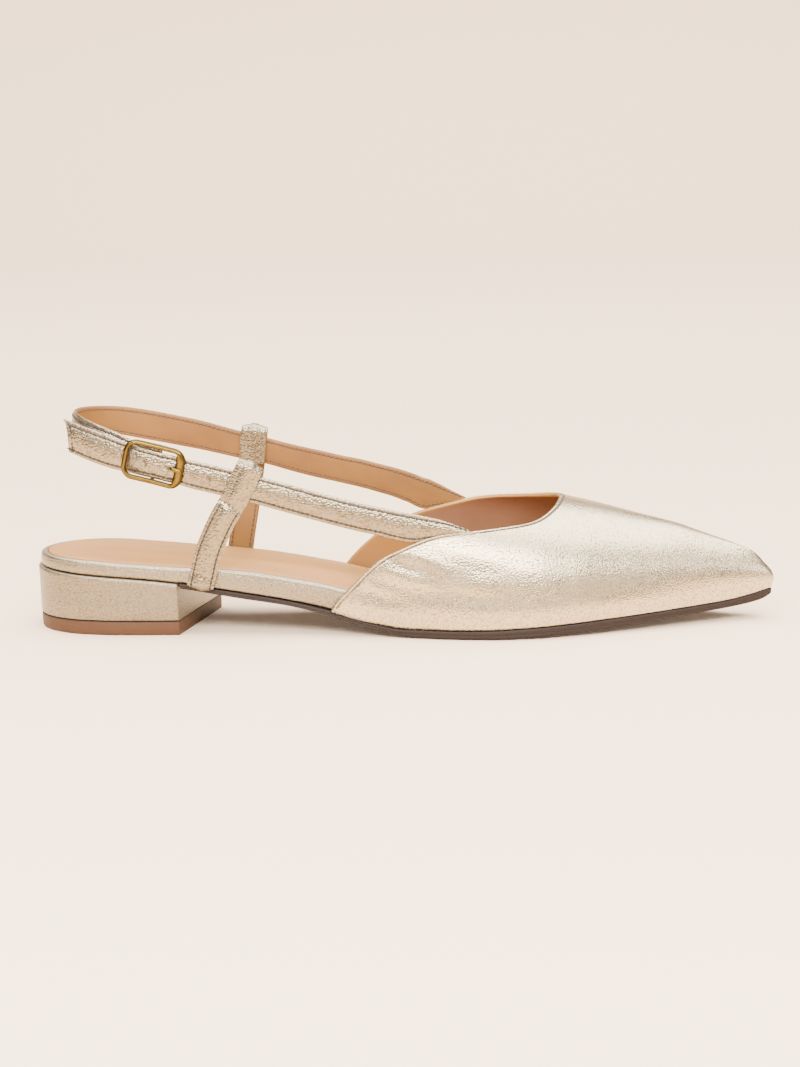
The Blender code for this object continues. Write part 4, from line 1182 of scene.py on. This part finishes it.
def makeBuckleFrame():
    path = framePath(10, 0.7)
    halfLong = buckle["long"] / 2 - buckle["halfBar"]
    steps = 20
    verts, paintedShades = [], []
    for i, (along, up) in enumerate(path):
        ahead, behind = Vector(path[(i + 1) % len(path)]), Vector(path[i - 1])
        tangent = (ahead - behind).normalized()
        outwards = Vector((tangent.y, -tangent.x))
        nearEnd = float(ramp(along, halfLong - 2.6, halfLong - 0.4))
        wide = buckle["halfBar"] + (buckle["wideBar"] - buckle["halfBar"]) * nearEnd
        shift = buckle["halfBar"] - wide
        for k in range(steps):
            a = 2 * math.pi * k / steps
            c, s = math.cos(a), math.sin(a)
            flat = (abs(c) ** 2.6 + abs(s) ** 2.6) ** (-1 / 2.6)  # a squarish section with soft edges
            r = outwards * (wide * c * flat + shift)
            out = saddle(along) + 0.15 + (buckle["halfDepth"] + 0.2) * s * flat - 0.35 * max(c, 0) * (s > 0)
            verts.append(bucklePoint(along + r.x, up + r.y, out))
            # painted shade on the wire's side faces, standing for the dark reflections seen there
            paintedShades.append(0.85 if abs(c) > 0.42 and s < 0.85 else 0.05)
    faces = gridFaces(len(path), steps, closed=True)
    last = (len(path) - 1) * steps
    faces += [(last + k, last + (k + 1) % steps, (k + 1) % steps, k) for k in range(steps)]
    endUp = buckle["high"] / 2 - buckle["halfBar"] - 0.4
    low = buckle["barDepth"] - 0.4
    rods = [((0, -endUp, buckle["barDepth"]), (0, endUp, buckle["barDepth"])),
            ((0, -endUp, low), (0, -endUp, saddle(0))), ((0, endUp, low), (0, endUp, saddle(0)))]
    for start, end in rods:
        places = [bucklePoint(*(np.array(start) + (np.array(end) - start) * u)) for u in np.linspace(0, 1, 8)]
        rodVerts, rodFaces = tube(places, [buckle["barRadius"]] * 8)
        faces += [tuple(k + len(verts) for k in face) for face in rodFaces]
        verts += list(rodVerts)
        # painted shade on the centre bar and its posts
        paintedShades += [0.5] * len(rodVerts)
    obj = meshObject("buckleFrame", toRow(np.array(verts)), faces, [brass], None, {"paintedShade": paintedShades}, sharp=50)
    return finishPiece(obj, "buckle", "buckle_frame")


def makeProng():
    reach = buckle["barRadius"] + shoe["gap"] + 0.4
    depth = buckle["barDepth"]
    rows = [(reach * math.cos(math.radians(d)), depth + reach * math.sin(math.radians(d)), 0.45)
            for d in range(-40, -275, -26)]
    rows += [(2.2, depth + reach, 0.45), (3.9, depth + reach + 0.05, 0.45), (5.0, -0.2, 0.5),
             (5.9, 1.2, 0.55), (6.7, 2.7, 0.62), (8.0, 3.85, 0.66), (10.4, 4.0, 0.6), (10.75, 3.98, 0.42),
             (10.9, 3.96, 0.15)]
    path = resampled([(along, 0.0, out, radius) for along, out, radius in rows], 0.3)
    places = [bucklePoint(along, 0.0, out) for along, side, out, radius in path]
    verts, faces = tube(places, np.maximum(path[:, 3], 0.1))
    marks = {"paintedShade": [0.0] * len(verts)}
    obj = meshObject("buckleProng", toRow(verts), faces, [brass], None, marks, sharp=60)
    return finishPiece(obj, "buckle", "buckle_prong")


makeBuckleFrame()
makeProng()
print("buckle made")

# Stitches: thread, and at each needle hole a dark dot of painted shade, set along each seam by one Geometry
# Nodes tree
stitches = {"pitch": 1.75, "length": 1.2, "radius": 0.40, "hole": 0.34}


def vectorNode(tree, parts):
    node = addNode(tree, "ShaderNodeCombineXYZ")
    for socket, value in zip(node.inputs, parts):
        feed(tree, socket, value)
    return node.outputs[0]


def makeStitchTree():
    tree = bpy.data.node_groups.new("stitchRow", "GeometryNodeTree")
    sockets = [("Geometry", "Geometry"), ("Pitch", "Float"), ("Length", "Float"), ("Radius", "Float"),
               ("Hole", "Float"), ("Thread", "Material"), ("HoleShade", "Material")]
    for name, kind in sockets:
        tree.interface.new_socket(name, in_out="INPUT", socket_type="NodeSocket" + kind)
    tree.interface.new_socket("Geometry", in_out="OUTPUT", socket_type="NodeSocketGeometry")
    given, leave = addNode(tree, "NodeGroupInput").outputs, addNode(tree, "NodeGroupOutput")
    toCurve = addNode(tree, "GeometryNodeMeshToCurve")
    resample = addNode(tree, "GeometryNodeResampleCurve", mode="LENGTH")
    link(tree, given["Geometry"], toCurve.inputs["Mesh"])
    link(tree, toCurve.outputs["Curve"], resample.inputs["Curve"])
    link(tree, given["Pitch"], resample.inputs["Length"])
    tangent = addNode(tree, "GeometryNodeInputTangent")
    lift = addNode(tree, "GeometryNodeInputNamedAttribute", {"Name": "lift"}, data_type="FLOAT_VECTOR")
    turn = addNode(tree, "FunctionNodeAxesToRotation", primary_axis="X", secondary_axis="Z")
    link(tree, tangent.outputs[0], turn.inputs["Primary Axis"])
    link(tree, lift.outputs["Attribute"], turn.inputs["Secondary Axis"])
    halfLength = mathNode(tree, "MULTIPLY", given["Length"], 0.5)
    holeDepth = mathNode(tree, "MULTIPLY", given["Hole"], 0.45)
    halfPitch = mathNode(tree, "MULTIPLY", given["Pitch"], 0.5)
    balls = [("Thread", 8, 5, (halfLength, given["Radius"], given["Radius"]), (0.0, 0.0, 0.0)),
             ("HoleShade", 6, 4, (given["Hole"], given["Hole"], holeDepth), (halfPitch, 0.0, 0.0))]
    both = addNode(tree, "GeometryNodeJoinGeometry")
    for material, segments, rings, size, place in balls:
        counts = {"Segments": segments, "Rings": rings, "Radius": 1.0}
        ball = addNode(tree, "GeometryNodeMeshUVSphere", counts)
        shape = addNode(tree, "GeometryNodeTransform")
        link(tree, ball.outputs["Mesh"], shape.inputs["Geometry"])
        link(tree, vectorNode(tree, size), shape.inputs["Scale"])
        link(tree, vectorNode(tree, place), shape.inputs["Translation"])
        spread = addNode(tree, "GeometryNodeInstanceOnPoints")
        link(tree, resample.outputs["Curve"], spread.inputs["Points"])
        link(tree, shape.outputs[0], spread.inputs["Instance"])
        link(tree, turn.outputs["Rotation"], spread.inputs["Rotation"])
        realize = addNode(tree, "GeometryNodeRealizeInstances")
        link(tree, spread.outputs[0], realize.inputs[0])
        coloured = addNode(tree, "GeometryNodeSetMaterial")
        link(tree, realize.outputs[0], coloured.inputs["Geometry"])
        link(tree, given[material], coloured.inputs["Material"])
        link(tree, coloured.outputs[0], both.inputs[0])
    link(tree, both.outputs[0], leave.inputs[0])
    return tree


stitchTree = makeStitchTree()


def stitchRows(name, lines, thread, slot, **changes):
    values = {**stitches, **changes}
    points = np.concatenate([toRow(line[0]) for line in lines])
    lifts = np.concatenate([line[1] for line in lines])
    edges, start = [], 0
    for line in lines:
        edges += [(start + i, start + i + 1) for i in range(len(line[0]) - 1)]
        start += len(line[0])
    mesh = bpy.data.meshes.new(name)
    mesh.from_pydata(points.tolist(), edges, [])
    layer = mesh.attributes.new("lift", "FLOAT_VECTOR", "POINT")
    layer.data.foreach_set("vector", lifts.astype(np.float32).reshape(-1))
    rows = bpy.data.objects.new(name, mesh)
    bpy.context.scene.collection.objects.link(rows)
    modifier = rows.modifiers.new("stitches", "NODES")
    modifier.node_group = stitchTree
    sockets = {item.name: item.identifier for item in stitchTree.interface.items_tree
               if item.in_out == "INPUT"}
    for key, value in values.items():
        modifier[sockets[key.capitalize()]] = value * 0.001
    modifier[sockets["Thread"]] = thread
    modifier[sockets["HoleShade"]] = needleHoleShade
    graph = bpy.context.evaluated_depsgraph_get()
    plain = bpy.data.meshes.new_from_object(rows.evaluated_get(graph))
    rows.modifiers.remove(modifier)
    bpy.data.objects.remove(rows)
    plain.shade_smooth()
    obj = bpy.data.objects.new(name, plain)
    bpy.context.scene.collection.objects.link(obj)
    return finishPiece(obj, slot)


faceRows = [row for face, back in strapRows for row in face]
backRows = [row for face, back in strapRows for row in back]
topline = {"pitch": 1.95, "length": 1.4, "radius": 0.26}
stitchRows("toplineStitches", [toplineSeam], toplineThread, "upper_leather", **topline)
stitchRows("strapStitches", faceRows, strapThread, "strap_leather")
stitchRows("liningStitches", backRows, liningThread, "strap_leather")
print("stitches made")

# Stage: a pale floor that sweeps up behind, and soft studio light
stage = {
    "floor": (0.88, 0.67, 0.475),
    "glow": (1.0, 0.80, 0.62),
    "glowStrength": 0.12,
    "ambient": 0.05,
    "reach": 12.0,  # m to each side and to the front
    "bend": (2.2, 0.5, 14),  # where the floor turns up, its radius and steps
    "top": 0.75,
}


def makeFloor():
    reach, (start, radius, steps) = stage["reach"], stage["bend"]
    turn = np.linspace(0, np.pi / 2, steps)[1:]
    depth = [*np.linspace(-reach, start, 12), *(start + radius * np.sin(turn)), start + radius]
    height = [*np.zeros(12), *(radius * (1 - np.cos(turn))), stage["top"]]
    verts = [(x, y, z) for y, z in zip(depth, height) for x in (-reach, reach)]
    faces = [(2 * i, 2 * i + 1, 2 * i + 3, 2 * i + 2) for i in range(len(depth) - 1)]
    mesh = bpy.data.meshes.new("floor")
    mesh.from_pydata(verts, [], faces)
    paper = newMaterial("floorPaper", stage["floor"], 0.9, Specular_IOR_Level=0.1,
                        Emission_Color=(*stage["glow"], 1), Emission_Strength=stage["glowStrength"])
    mesh.materials.append(paper)
    mesh.shade_smooth()
    obj = bpy.data.objects.new("floor", mesh)
    bpy.context.scene.collection.objects.link(obj)


# name, place, size, watts, aimed at, colour
lights = [
    ("ceiling", (0.0, 0.7, 2.4), (4.0, 3.6), 430.0, (0.0, 0.7, 0.0), (1.0, 0.975, 0.945)),
    ("strip", (0.03, -0.85, 0.66), (1.3, 0.34), 36.0, (0.0, 0.0, 0.02), (1.0, 0.975, 0.94)),
    ("frontLeft", (-0.9, -0.5, 0.7), (0.3, 0.3), 4.0, (0.0, 0.0, 0.03), (1.0, 0.97, 0.93)),
    ("frontRight", (1.05, -0.25, 0.45), (0.6, 0.5), 5.0, (0.1, 0.0, 0.02), (1.0, 0.97, 0.93)),
]


def makeLights():
    for name, place, size, watts, aim, colour in lights:
        data = bpy.data.lights.new(name, "AREA")
        data.shape = "RECTANGLE"
        data.size, data.size_y = size
        data.energy = watts
        data.color = colour
        obj = bpy.data.objects.new(name, data)
        obj.location = place
        obj.rotation_euler = (Vector(aim) - Vector(place)).to_track_quat("-Z", "Y").to_euler()
        bpy.context.scene.collection.objects.link(obj)
    world = bpy.data.worlds.new("studio")
    bpy.context.scene.world = world
    world.use_nodes = True
    background = world.node_tree.nodes["Background"]
    background.inputs["Color"].default_value = (1.0, 0.97, 0.94, 1)
    background.inputs["Strength"].default_value = stage["ambient"]


makeFloor()
makeLights()
print("stage made")
